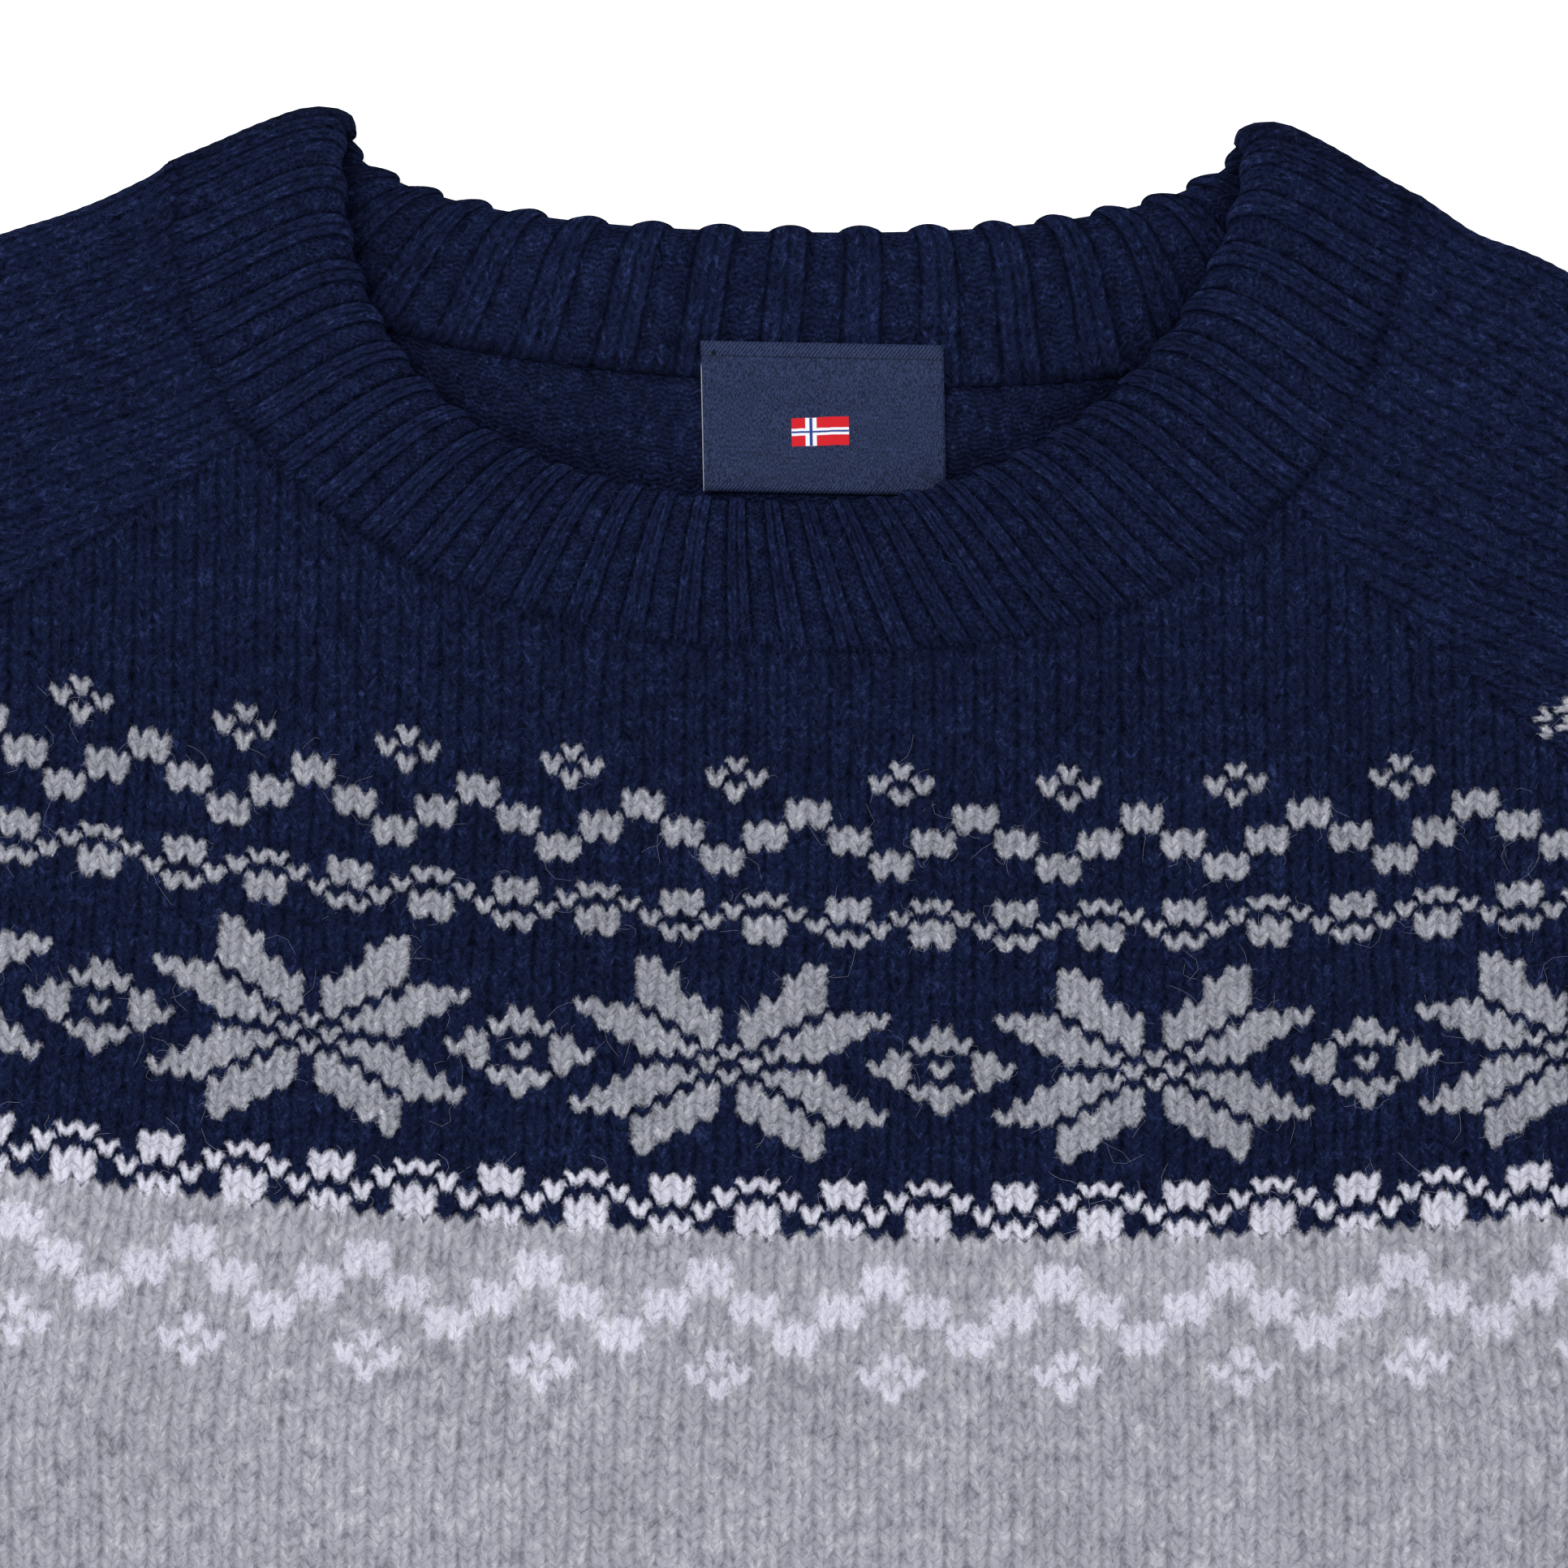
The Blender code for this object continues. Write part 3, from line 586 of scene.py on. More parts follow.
body = {
    "half": [(-625, 250), (-560, 262), (-275, 268)],
    "hemY": -625.3,
    "yokeLight": 0.92,                              # light on the rows above the white ones
    "rowsBetween": (-45, 186),                      # all rows of the panels lie between these
    "columnsLeft": 54.4, "columnsRight": 62.9,      # from the middle star out to the side folds
    # y of the lower edge of a row, at x = 0: row, y
    "rowMarks": [(-60, -7.4), (-3, -133.8), (0, -142.3), (6, -157.4), (9, -163.9), (12, -171.4),
                 (15, -177.9), (30, -215.4), (33, -222.5), (36, -231.5), (40, -244.0),
                 (44, -255.7), (47, -264.8), (187, -645.2)],
    # y, x of the middle star's column, stitch width left, stitch width right
    "columnMarks": [(-60, -13.6, 4.2, 4.2), (-137, -14.8, 4.2, 4.28), (-197, -16.0, 4.32, 4.36),
                    (-232, -17.2, 4.4, 4.42), (-260, -18.7, 4.5, 4.5), (-280, -19.3, 4.57, 4.567),
                    (-400, -21, 4.5, 4.55), (-560, -22, 4.41, 4.515), (-625, -22, 4.19, 4.32)],
    # y, tilt and bow of a row: y = row - tilt x + bow x^2
    "rowShapes": [(-60, 0.066, 5e-4), (-137, 0.0465, 4.5e-4), (-231, 0.025, 3.3e-4),
                  (-265, 0.0175, 3.4e-4), (-400, 0.006, 1.2e-4), (-600, 0.0, 0.0)],
    "neckHalf": 127, "neckDrop": 98, "neckSquare": 2.3, "neckTopY": -12,
    "backSeam": [(127, -12), (118, -46), (70, -54), (0, -54)],
    "frontRaglan": [(107, -72.2), (165, -114), (232, -190), (268, -275)],
    "backRaglan": [(106, -37.8), (160, -80), (226, -170), (268, -275)],
    # how far each front raglan lies off its cut line, and the shares where that starts and is full
    "raglanLift": {1: (-4.5, 0.0, 0.1), -1: (7.5, 0.06, 0.34)},
}


def table(rows, column, y):  # one column of a table whose first column is y, falling
    marks = np.array(rows)[::-1]
    order = np.argsort(marks[:, 0])
    return np.interp(y, marks[order, 0], marks[order, column])


def panelPlace(u, v):  # place of stitch u, row v: the row's bow and the column's lean
    rowY = np.interp(v, *np.array(body["rowMarks"]).T)
    middle, left, right = (table(body["columnMarks"], k, rowY) for k in (1, 2, 3))
    tilt, bow = (table(body["rowShapes"], k, rowY) for k in (1, 2))
    x = middle + u * np.where(u < 0, left, right)
    return x, rowY - tilt * x + bow * x**2


def frontSeam():  # where the neckband meets the front, a squared half oval
    return halfOval(body["neckHalf"], body["neckDrop"], body["neckSquare"], body["neckTopY"])


def backSeam():  # where it meets the back, one curve on each side
    right = cubicCurve(body["backSeam"])
    return np.concatenate([right * (-1, 1), right[::-1][1:]])


def raglanLine(front, side):  # the cut line, with a bump that is 0 at both ends
    line = cubicCurve(body["frontRaglan"] if front else body["backRaglan"])
    if front:
        lift, start, full = body["raglanLift"][side]
        fadeOut = 1 - smoothStep((fine - 0.4) / 0.6)
        line[:, 1] += lift * smoothStep((fine - start) / (full - start)) * fadeOut
    return line


def panelTop(front):  # left raglan, neck seam and right raglan as one laid line
    left, right = raglanLine(front, -1), raglanLine(front, 1)
    neck = frontSeam() if front else backSeam()
    neck = neck[np.abs(neck[:, 0]) < right[0, 0]]
    line = np.concatenate([left[::-1] * (-1, 1), neck, right]) + (0, knit["overlap"])
    line = laid(line)
    line[:, 1] += cloth["planMiddleY"]
    return line


def panelLimits(u, front):  # rows at which each column meets the neck, raglan or hem seam
    top = panelTop(front)
    vGrid = np.linspace(*body["rowsBetween"], 1400)
    x, y = panelPlace(*np.meshgrid(u, vGrid, indexing="ij"))
    above = y > heightAt(top, x)
    first = vGrid[np.minimum(above.sum(1), len(vGrid) - 1)]
    low = y > body["hemY"]
    return first, vGrid[np.minimum(low.sum(1), len(vGrid) - 1)]


def panelFace(front, radius):  # place(u, v, height) for a face of a panel, folded at its sides
    def place(u, v, height):
        x, y = panelPlace(u, v)
        if radius > 1:
            x = x + knit["uneven"] * wobble(u, v, 1)
            y = y + knit["uneven"] * wobble(u, v, 2)
        half = table(body["half"], 1, y)
        x = np.clip(x, -half, half)
        z = turnDown(half - np.abs(x), radius) + height * np.clip((half - np.abs(x)) / 2, 0, 1)
        if radius < 1:
            x = np.clip(x, -half + cloth["wall"], half - cloth["wall"])
            z = 0 * x + radius
        if front:
            z = cloth["middleZ"] + z + foldRise(x, y)
        else:
            z = np.maximum(cloth["middleZ"] - z, 0)
        return np.stack([x, y - cloth["planMiddleY"], z], axis=-1)
    return place


def quarterColumns(low, high):  # four columns of points to a stitch, and both ends
    u = np.arange(math.ceil(low * 4), math.floor(high * 4) + 1) / 4
    return np.concatenate([[low], u[(u > low + 0.1) & (u < high - 0.1)], [high]])


def panelPiece(name, front, node, reliefRows):  # stitches stand out over reliefRows
    u = quarterColumns(-body["columnsLeft"], body["columnsRight"])
    rows = np.arange(reliefRows[0] * 2, reliefRows[1] * 2) / 2
    rows = np.concatenate([[-46, -40] if reliefRows[0] > -40 else [], rows,
                           np.arange(reliefRows[1], 190, knit["plainStep"])])
    level, dark = (0 if front else -cloth["thinnest"]), 1 - body["yokeLight"]

    # painted shade: the rows above the white ones keep only yokeLight of their light
    def relief(u, v):
        return 0 * v + level, 1 - dark * (1 - smoothStep((v - yoke["firstWhite"]) / 4)), 0 * v

    return knitWall(name, u, rows, panelLimits(u, front), panelFace(front, cloth["outerTurn"]),
                    panelFace(front, cloth["innerTurn"]), np.linspace(0, 1, 22)**1.6, relief,
                    woolKnit, [node])


frontKnit = panelPiece("frontKnit", True, "front", (-34, 64))
backKnit = panelPiece("backKnit", False, "back", (-40, 52))

sleeve = {
    "topStart": (127, -12), "topHeadings": (-25, -68), "topRuns": (270, 150, 443),
    "underarm": [(268, -275), (350, -398), (462, -545), (557, -682)],
    "underarmOnTop": 0.403,
    "cuffLength": 65,
    "stitch": 3.9, "row": 3.0,
    "flowerAlong": 93.5, "flowerIn": 83.9,     # where one flower's middle lies on the upper layer
    "patternTo": 50,                           # the row below the last band
    # the shoulder sinks a little beside the neckband: depth, middle and reach along the fold
    "shoulderDip": {1: (1.7, 15, 9), -1: (2.8, 19, 22)},
}


def sleeveFold():  # straight off the neck, an even bend over the shoulder, straight to the cuff
    bends = np.concatenate([[0], np.cumsum(sleeve["topRuns"])])
    along = fine * bends[-1]
    one, two = np.radians(sleeve["topHeadings"])
    heading = np.interp(along, bends, (one, one, two, two))
    steps = np.diff(along)[:, None] * np.stack([np.cos(heading), np.sin(heading)], 1)[1:]
    top = np.array(sleeve["topStart"])
    return np.concatenate([[top], top + np.cumsum(steps, 0)])


foldLine, armLine = sleeveFold(), cubicCurve(sleeve["underarm"])
foldLength, armLength = lengthAlong(foldLine)[-1], lengthAlong(armLine)[-1]
armStart = sleeve["underarmOnTop"] * foldLength
cuffStart = foldLength - sleeve["cuffLength"]


def sleeveEdge(b, front, side):  # seam edge of a layer opposite b along the fold
    cuffShare = sleeve["cuffLength"] / armLength
    onArm = np.clip((b - armStart) / (cuffStart - armStart), 0, 1) * (1 - cuffShare)
    onArm = np.where(b > cuffStart, 1 - (foldLength - b) / armLength, onArm)
    onRaglan = atShare(raglanLine(front, side), np.clip(b / armStart, 0, 1))
    return np.where((b < armStart)[..., None], onRaglan, atShare(armLine, onArm))


def rowLine(b, front, side):  # a row's start on the fold, heading, width and share of arm
    top = atShare(foldLine, np.maximum(b, 0) / foldLength)
    edge = sleeveEdge(b, front, side)
    width = np.linalg.norm(edge - top, axis=-1)
    arm = smoothStep((b - armStart + 8) / 8)
    return top, (edge - top) / np.maximum(width, 1e-6)[..., None], width + 0.5 * (1 - arm), arm


def neckBulge(share, front):  # how far the neck edge leaves the line between its two ends
    raglanX = body["frontRaglan" if front else "backRaglan"][0][0]
    seam = frontSeam() if front else backSeam()
    edge = seam[seam[:, 0] >= raglanX]
    edge = edge[np.argsort(edge[:, 0])]
    return atShare(edge, share) - (edge[0] + share[..., None] * (edge[-1] - edge[0]))


def tubeFace(side, radius):
    # place(a, b, height): a is the way round from the fold, positive on the upper layer, and b
    # the way along the fold. Rows are straight lines from the fold to the seam edge.
    bend = math.pi / 2 * cloth["outerTurn"]
    off = math.radians(sleeve["topHeadings"][0])
    offNeck = np.array([math.cos(off), math.sin(off)])

    def place(a, b, height):
        grid = np.zeros(a.shape + (3,))
        for front in (True, False):
            top, heading, width, arm = rowLine(b, front, side)
            angle = np.clip(np.abs(a) / cloth["outerTurn"], 0, math.pi / 2)
            flat = np.maximum(np.abs(a) - bend, 0)
            inset = cloth["outerTurn"] + flat - (radius + height) * np.cos(angle)
            fromEdge = width - cloth["outerTurn"] - flat
            down = turnDown(fromEdge, radius) / radius * arm + 1 - arm
            if radius < 1:
                inset = np.minimum(inset, np.maximum(width - cloth["wall"] * arm, 0))
            inset = np.minimum(inset, width)
            least = cloth["thinnest"] * smoothStep(np.abs(a))
            z = np.maximum((radius + height) * np.sin(angle) * down, least)
            fade = np.clip(1 - b / (0.3 * armStart), 0, 1)**2
            share = 1 - np.clip(inset / width, 0, 1)
            xy = top + inset[..., None] * heading + fade[..., None] * neckBulge(share, front)
            xy = xy + np.minimum(b, 0)[..., None] * offNeck
            depth, middle, reach = sleeve["shoulderDip"][side]
            dip = np.exp(-((b - middle) / reach)**2 - np.maximum(inset, 0) / 30) * smoothStep(b / 5)
            xy = xy - depth * dip[..., None] * (0, 1)
            z = cloth["middleZ"] + (z if front else -z)
            if front:
                z = z + foldRise(side * xy[..., 0], xy[..., 1]) * np.clip(inset / 6 - 0.5, 0, 1)
            mine = (a >= 0) if front else (a < 0)
            grid[mine] = np.concatenate([xy * (side, 1), np.maximum(z, 0)[..., None]], -1)[mine]
        return laid(grid)
    return place


def tubeLimits(a, start, end, side):  # first and last b of each line along the tube
    b = np.linspace(start, end, 1500)
    first, last = np.zeros(len(a)), np.zeros(len(a))
    for front in (True, False):
        width = rowLine(b, front, side)[2]
        mine = (a >= 0) if front else (a < 0)
        reach = np.abs(a[mine]) - (math.pi / 2 - 1) * cloth["outerTurn"]
        wide = width[None, :] >= reach[:, None] - 1e-9
        first[mine] = b[np.argmax(wide, axis=1)]
        last[mine] = b[len(b) - 1 - np.argmax(wide[:, ::-1], axis=1)]
        none = ~wide.any(axis=1)
        first[np.flatnonzero(mine)[none]] = last[np.flatnonzero(mine)[none]] = b[np.argmax(width)]
    return first, last


def tubeReach(start, end, front, side):  # the widest row's way round, from the fold to the edge
    width = rowLine(np.linspace(start, end, 1500), front, side)[2]
    return width.max() + (math.pi / 2 - 1) * cloth["outerTurn"]


def sleevePiece(name, side, node):
    # The columns run along the fold and are counted round the tube; a flower's middle, which
    # the shoulder shows, is column 0 and lies just above row 0
    stitch, row = sleeve["stitch"], sleeve["row"]
    start, end = -knit["overlap"], cuffStart + 0.3
    uShift = sleeve["flowerIn"] / stitch            # the flower's column is 0
    vShift = sleeve["flowerAlong"] / row + 1.5      # and its middle row -1
    toU = lambda a: a / stitch - uShift
    high, low = toU(tubeReach(start, end, True, side)), toU(-tubeReach(start, end, False, side))
    u = quarterColumns(low, high)
    first, last = tubeLimits((u + uShift) * stitch, start, end, side)
    plainFrom, step = sleeve["patternTo"], knit["plainStep"]
    rows = np.concatenate([np.arange(math.floor(-vShift) * 2 - 2, plainFrom * 2) / 2,
                           np.arange(plainFrom, end / row - vShift + 2 * step, step)])
    outer, inner = tubeFace(side, cloth["outerTurn"]), tubeFace(side, cloth["innerTurn"])

    def convert(face, uneven):
        return lambda u, v, height: face((u + uShift) * stitch + uneven * wobble(u, v, 1),
                                         (v + vShift) * row + uneven * wobble(u, v, 2), height)

    relief = lambda u, v: (np.where(u + uShift < 0, -0.15, 0.0), 1 + 0 * v, 0 * v)
    return knitWall(name, u, rows, (first / row - vShift, last / row - vShift),
                    convert(outer, knit["uneven"]), convert(inner, 0), np.linspace(0, 1, 25),
                    relief, woolKnit, [node])


for suffix, side in (("Right", 1), ("Left", -1)):
    piece = sleevePiece("sleeve" + suffix, side, "sleeve_" + suffix.lower())


ribs = {
    "pitch": 10.0, "rise": 1.0, "row": 2.5,
    "rollOff": 1.3,        # radius of the rounded free edge
    "cuffThin": 1.2,       # how far the wall of a cuff thins to that edge
    "seamFade": 1.5,       # rows over which the ribs grow from a seam
}
melangeYarn = (0.0, 1.0, 0.0)        # contrast, melange ground, white contrast
hem = {"half": 243.0, "topHalf": 250.0, "topY": -624.7, "length": 65.3}       # half widths


def ribRelief(columns, purlHeight, pairFloor=0.3, halfKnit=4 / 3, closed=0.0):
    # 2x2 rib, four columns round: two crests of the knit pair, halfKnit columns apart, a groove
    # between them that is closed by matted fibres, a deep one on each side and the purl pair
    d = np.abs((columns + 1) % 4 - 2)
    crest = 0.5 - 0.5 * np.cos(2 * np.pi * d / halfKnit)
    floor = pairFloor * smoothStep((0.9 * halfKnit - d) / (0.45 * halfKnit))
    beyond = purlHeight * smoothStep((d - halfKnit) / 0.45)
    purl = np.maximum(smoothStep((d - halfKnit + 0.08) / 0.2), closed * (1 - smoothStep(d / 0.6)))
    return np.where(d > halfKnit, beyond, floor + (1 - floor) * crest), purl


def endRound(v, last):  # thins the wall to its free edge, along a quarter circle
    over = np.clip(1 - (last - v) * ribs["row"] / ribs["rollOff"], 0, 1)
    return 1 - np.sqrt(1 - over**2)


def ribbed(u, strength):  # height, shade and purl of a rib, faded out by strength
    relief, purl = ribRelief(u, 0.35)
    # painted shade: the rib's grooves darker and its crests lighter than the yarn
    return (ribs["rise"] * (relief - 0.25) * strength, 1 + (0.75 * relief - 0.4) * strength,
            purl * strength)


def hemPiece(name, front, node):
    # Ribs across a band that folds down at its sides, drawn in from the panel's width by a
    # smooth step and thinned to a round free edge
    half, wall = hem["half"], cloth["wall"]
    ribCount = round(half / ribs["pitch"]) * 2
    u = quarterColumns(-2 * ribCount, 2 * ribCount)
    rowCount = hem["length"] / ribs["row"]
    rows = np.arange(-1, math.ceil(rowCount) * 2 + 3) / 2
    if not front:                    # the back only shows from below, where it is plain
        rows = np.arange(-1, rowCount + 4, 2.0)
    limits = np.zeros(len(u)), np.full(len(u), rowCount)

    def face(radius):
        def place(u, v, height):
            x = u * half / (2 * ribCount)
            drawn = 1 + (hem["topHalf"] / half - 1) * (1 - smoothStep(2 * v / rowCount))
            y = hem["topY"] - v * ribs["row"]
            thin = ribs["rollOff"] * endRound(v, rowCount)
            mend = np.clip((half - np.abs(x)) / cloth["outerTurn"] - 1, 0, 1)
            z = turnDown(half - np.abs(x), radius) + height * mend
            if radius < 1:
                x, z = np.clip(x, wall - half, half - wall), 0 * x + radius
            z = z - thin if radius > 1 else z + thin
            z = cloth["middleZ"] + (z + foldRise(x, y) if front else -z)
            return np.stack([x * drawn, y - cloth["planMiddleY"], np.maximum(z, 0)], axis=-1)
        return place

    def relief(u, v):
        if not front:
            return 0 * v - 0.1, 1 + 0 * v, 0 * v
        return ribbed(u, np.clip(v / ribs["seamFade"], 0, 1))

    piece = knitWall(name, u, rows, limits, face(cloth["outerTurn"]), face(cloth["innerTurn"]),
                     np.linspace(0, 1, 5), relief, woolKnit, [node], melangeYarn)
    return piece


hemPiece("hemFront", True, "hem_front")
hemPiece("hemBack", False, "hem_back")


def cuffPiece(name, side, node):  # the tube of the sleeve carried on in rib
    reach = tubeReach(cuffStart, foldLength, True, side)
    ribCount = round(2 * reach / ribs["pitch"] / 2) * 2
    stitch = reach / (2 * ribCount)
    u = quarterColumns(-2 * ribCount, 2 * ribCount)
    start = cuffStart - 0.3
    end = (foldLength - start) / ribs["row"]
    rows = np.arange(-1, math.ceil(end) * 2 + 3) / 2
    first, last = tubeLimits(u * stitch, start, foldLength, side)
    outer, inner = tubeFace(side, cloth["outerTurn"]), tubeFace(side, cloth["innerTurn"])
    convert = lambda face, grow: lambda u, v, height: face(
        u * stitch, start + v * ribs["row"], height + grow * ribs["cuffThin"] * endRound(v, end))

    def relief(u, v):
        strength = np.clip(v / ribs["seamFade"], 0, 1) * np.clip(u * stitch / 3 - 1, 0, 1)
        lift, shade, purl = ribbed(u, strength)
        return np.where(u > 0, lift, -0.1), shade, purl

    limits = (first - start) / ribs["row"], (last - start) / ribs["row"]
    piece = knitWall(name, u, rows, limits, convert(outer, -1), convert(inner, 0),
                     np.linspace(0, 1, 5), relief, woolKnit, [node], melangeYarn)
    return piece


for suffix, side in (("Right", 1), ("Left", -1)):
    cuffPiece("cuff" + suffix, side, "cuff_" + suffix.lower())


def neckPiece():
    # One ring: columns run round the front half, a folded tip, the back half and the other tip,
    # and c goes from the seam to the free edge along straight lines between the two
    n = neckband
    frontColumns, backColumns, tip = n["frontRibs"] * 4 - 2, n["backRibs"] * 4 - 2, 2
    total = frontColumns + backColumns + 2 * tip
    u = np.arange(0, total * 4 + 1) / 4
    slopes = lambda path: np.stack([-np.gradient(path[:, 1]), np.gradient(path[:, 0])], 1)
    shift = lambda path, far: path + far * slopes(path) / np.maximum(
        np.linalg.norm(slopes(path), axis=1), 1e-9)[:, None]
    seams = shift(frontSeam(), 0.3), shift(backSeam(), 0.3)
    backFree = halfOval(n["backFreeHalf"], n["backFreeDrop"], n["backFreeSquare"], 0)
    backFree[:, 1] += n["backTilt"] * backFree[:, 0]
    frees = freeEdge(), backFree

    def trim(c):  # a tip's inset: a quarter circle near the free edge, less its reach
        past = np.clip((c - n["tipFrom"]) / (1 - n["tipFrom"]), 0, 1)
        reach = n["tipReach"] * smoothStep(c / n["tipFrom"])
        return n["tipTrim"] * (1 - np.sqrt(1 - past**2)) - reach

    def onHalf(share, c, front, drawn=0.0):  # a half between its folds; drawn pulls the edge back
        seam, free = (seams[0], frees[0]) if front else (seams[1], frees[1])
        length = (1 - c) * lengthAlong(seam)[-1] + c * lengthAlong(free)[-1]
        inset = (cloth["outerTurn"] + trim(c)) / length
        lean = (n["frontLean"] if front else n["backLean"]) * np.sin(2 * np.pi * share)
        onSeam = inset + share * (1 - 2 * inset)
        onFree = inset + (share + lean) * (1 - 2 * inset)
        c = c - drawn / n["seamToEdge"]
        return (1 - c)[..., None] * atShare(seam, onSeam) + c[..., None] * atShare(free, onFree)

    def around(u):  # which half a column is on, and its share along that half
        onFront = u <= frontColumns
        onBack = (u >= frontColumns + tip) & (u <= total - tip)
        share = np.where(onFront, u / frontColumns, (u - frontColumns - tip) / backColumns)
        return onFront, onBack, np.clip(share, 0, 1)

    def face(outerSide):
        radius = cloth["outerTurn"] if outerSide else cloth["innerTurn"]

        def place(u, v, height):
            c = 1 - v / n["rows"]
            onFront, onBack, share = around(u)
            grow = height if outerSide else -height
            rounded = ribs["rollOff"] * endRound(-v, 0.0)
            grow = grow - rounded if outerSide else grow + rounded
            # knit pairs stand out at the free edge as round scallops
            recess = 1 - np.clip(0.25 + 0.75 * np.cos(np.pi / 2 * (u - 1)), 0, 1)**0.6
            recess = recess * smoothStep((c - n["scallopFrom"]) / (1 - n["scallopFrom"]))
            drawn = recess * np.where(onFront, n["frontScallop"], n["backScallop"])
            xy = np.where(onFront[..., None], onHalf(share, c, True, drawn),
                          onHalf(1 - share, c, False, drawn))
            z = np.where(onFront, radius + grow, -radius - grow)
            for low, sign in ((frontColumns, 1), (total - tip, -1)):
                turning = (u > low) & (u < low + tip)
                part = np.clip((u - low) / tip, 0, 1)
                last = np.full_like(c, 1.0 if sign > 0 else 0.0)
                one, two = [onHalf(last, c, front) for front in (True, False)][::sign]
                heading = n["tipTurn"] * smoothStep((c - n["tipFrom"]) / (1 - n["tipFrom"]))
                heading = np.radians(n["tipHeading"] + heading)
                out = np.stack([sign * np.cos(heading), np.sin(heading)], -1)
                out = ((radius + grow) * np.sin(np.pi * part))[..., None] * out
                xy = np.where(turning[..., None], one + part[..., None] * (two - one) + out, xy)
                z = np.where(turning, sign * (radius + grow) * np.cos(np.pi * part), z)
            arch = np.where(onFront, np.sin(np.pi * share)**0.7, 0)
            z = cloth["middleZ"] + z + n["lift"] * np.clip(c, 0, 1)**1.5 * arch
            return laid(np.concatenate([xy, np.maximum(z, 0.0)[..., None]], -1))
        return place

    def relief(u, v, outerSide):
        onFront, onBack, share = around(u)
        c = np.clip(1 - v / n["rows"], 0, 1)
        here = onFront if outerSide else onBack
        ends = np.minimum(share, 1 - share) * (n["frontRibs"] if outerSide else n["backRibs"])
        strength = smoothStep(ends / 1.5 - (0.0 if outerSide else 0.4))
        strength = strength * smoothStep(c / 0.14) * here
        ridge, purl = ribRelief(u, n["purlHeight"], 0.6, 1.1, 0.3)
        rise = n["frontRise"] if outerSide else n["backRise"]
        lift = rise * (ridge - (0.35 if outerSide else 0.0)) * strength
        # painted shade: the rib's grooves darker and its crests lighter
        shade = 1 + (n["frontShade"] if outerSide else n["backShade"]) * (ridge - 0.62) * strength
        lift = lift + np.where(here, 0, -0.12 if outerSide else 0.0)
        return lift, shade, purl * strength, here

    # both faces carry stitches, so the ring is made as one grid that goes round the free edge
    rowsHalf = np.concatenate([[0, 0.08, 0.2, 0.35], np.arange(1, n["rows"] * 2 + 2) / 2])
    sheets = []
    for outerSide in (False, True):
        fade = np.clip(np.minimum(rowsHalf, rowsHalf[-1] - rowsHalf), 0, 1)
        v = np.clip(rowsHalf[None, :] - legRise(u - 0.5)[:, None] * fade[None, :], 0, rowsHalf[-1])
        uGrid = np.broadcast_to(u[:, None], v.shape)
        lift, shade, purl, here = relief(uGrid, v, outerSide)
        legs = (legHeight(u - 0.5, rowsHalf) - 0.6) * fade[None, :]
        bumps = 1.1 * knit["relief"] * legs * (1 - purl) + 0.12 * wobble(uGrid, v, 4) * fade
        # painted shade along the legs of each stitch
        shade = shade * (1 + n["stitchShade"] * legs * (1 - 0.5 * purl))
        edge = rowsHalf[-1] - v
        dip = n["edgeThin"] * (1 - smoothStep(edge / 1.3))
        heights = (bumps + lift - dip) * (1.0 if outerSide else here)
        points = face(outerSide)(uGrid, v, heights if outerSide else -heights)
        # painted shade beside the seam, and the painted shadow of the lifted front edge on the back
        # half and the tips
        fromSeam = smoothStep(edge / 1.4 + 0.25 * wobble(uGrid, v, 6))
        shade = shade * (n["edgeLight"] + (1 - n["edgeLight"]) * fromSeam)
        shade = shade * np.where(here, 1, paintedBandShadow(points))
        if not outerSide:
            shade = shade * paintedBandShadow(points)
        sheets.append((points, uGrid - 0.5, v, shade, purl))
        if outerSide:
            shown = points[:, 6:-2][here[:, 6:-2]]
            surfaces.append(("neckbandRib", shown, np.zeros((len(shown), 4))))
    joined = [np.concatenate([sheets[0][k][:, ::-1], sheets[1][k]], axis=1) for k in range(5)]
    points, uGrid, v, shade, purl = joined
    count = points.shape[1]
    points[-1] = points[0]
    number = np.arange(len(u))[:, None] * count + np.arange(count)[None, :]
    number = np.concatenate([number, number[:, :1]], axis=1)     # and round the seam edge
    colours = np.concatenate([np.zeros(v.shape + (3,)), shade[..., None]], -1).reshape(-1, 4)
    uv = np.stack([uGrid, v], -1).reshape(-1, 2)
    return buildMesh("neckbandRib", points.reshape(-1, 3), np.concatenate(gridTris(number)), uv,
                     colours, purl.ravel(), woolKnit, ["neckband"])


neckPiece()


label = {
    "x": 3.0, "topY": -47.0, "z": 2.9, "halfWidth": 25.0, "height": 31.0, "wall": 0.9, "lean": 0.02,
    "step": 0.95,                              # it steps up onto the neckband
    # satinLight is the threads' lighter tone, which also paints the floats' gloss
    "satin": "#161d33", "satinLight": "#343f62", "thread": "#e4e6ee", "tack": "#05070f",
    "topStrip": 3.0, "bottomStrip": 1.9,       # turned-in ends, woven as twill
    "curlSides": 0.25, "curlEnd": 0.35, "ripple": 0.12,
    "tackX": -22.3, "tackDown": 2.5,           # the stitch that holds its corner
    "selvedgeFrom": 4.6, "selvedgeFull": 6.0,
    "flagX": -0.7, "flagDown": 18.2, "flagWidth": 11.8, "flagHeight": 5.8, "flagTilt": 0.055,
    # the cross: its upright's place from the flag's middle, half widths of white and of blue
    "crossX": -1.9, "whiteUpright": 1.15, "whiteBar": 0.72, "blueUpright": 0.32, "blueBar": 0.2,
    "flagRed": "#d0202a", "flagWhite": "#eef0f8", "flagBlue": "#2b3f86",
}


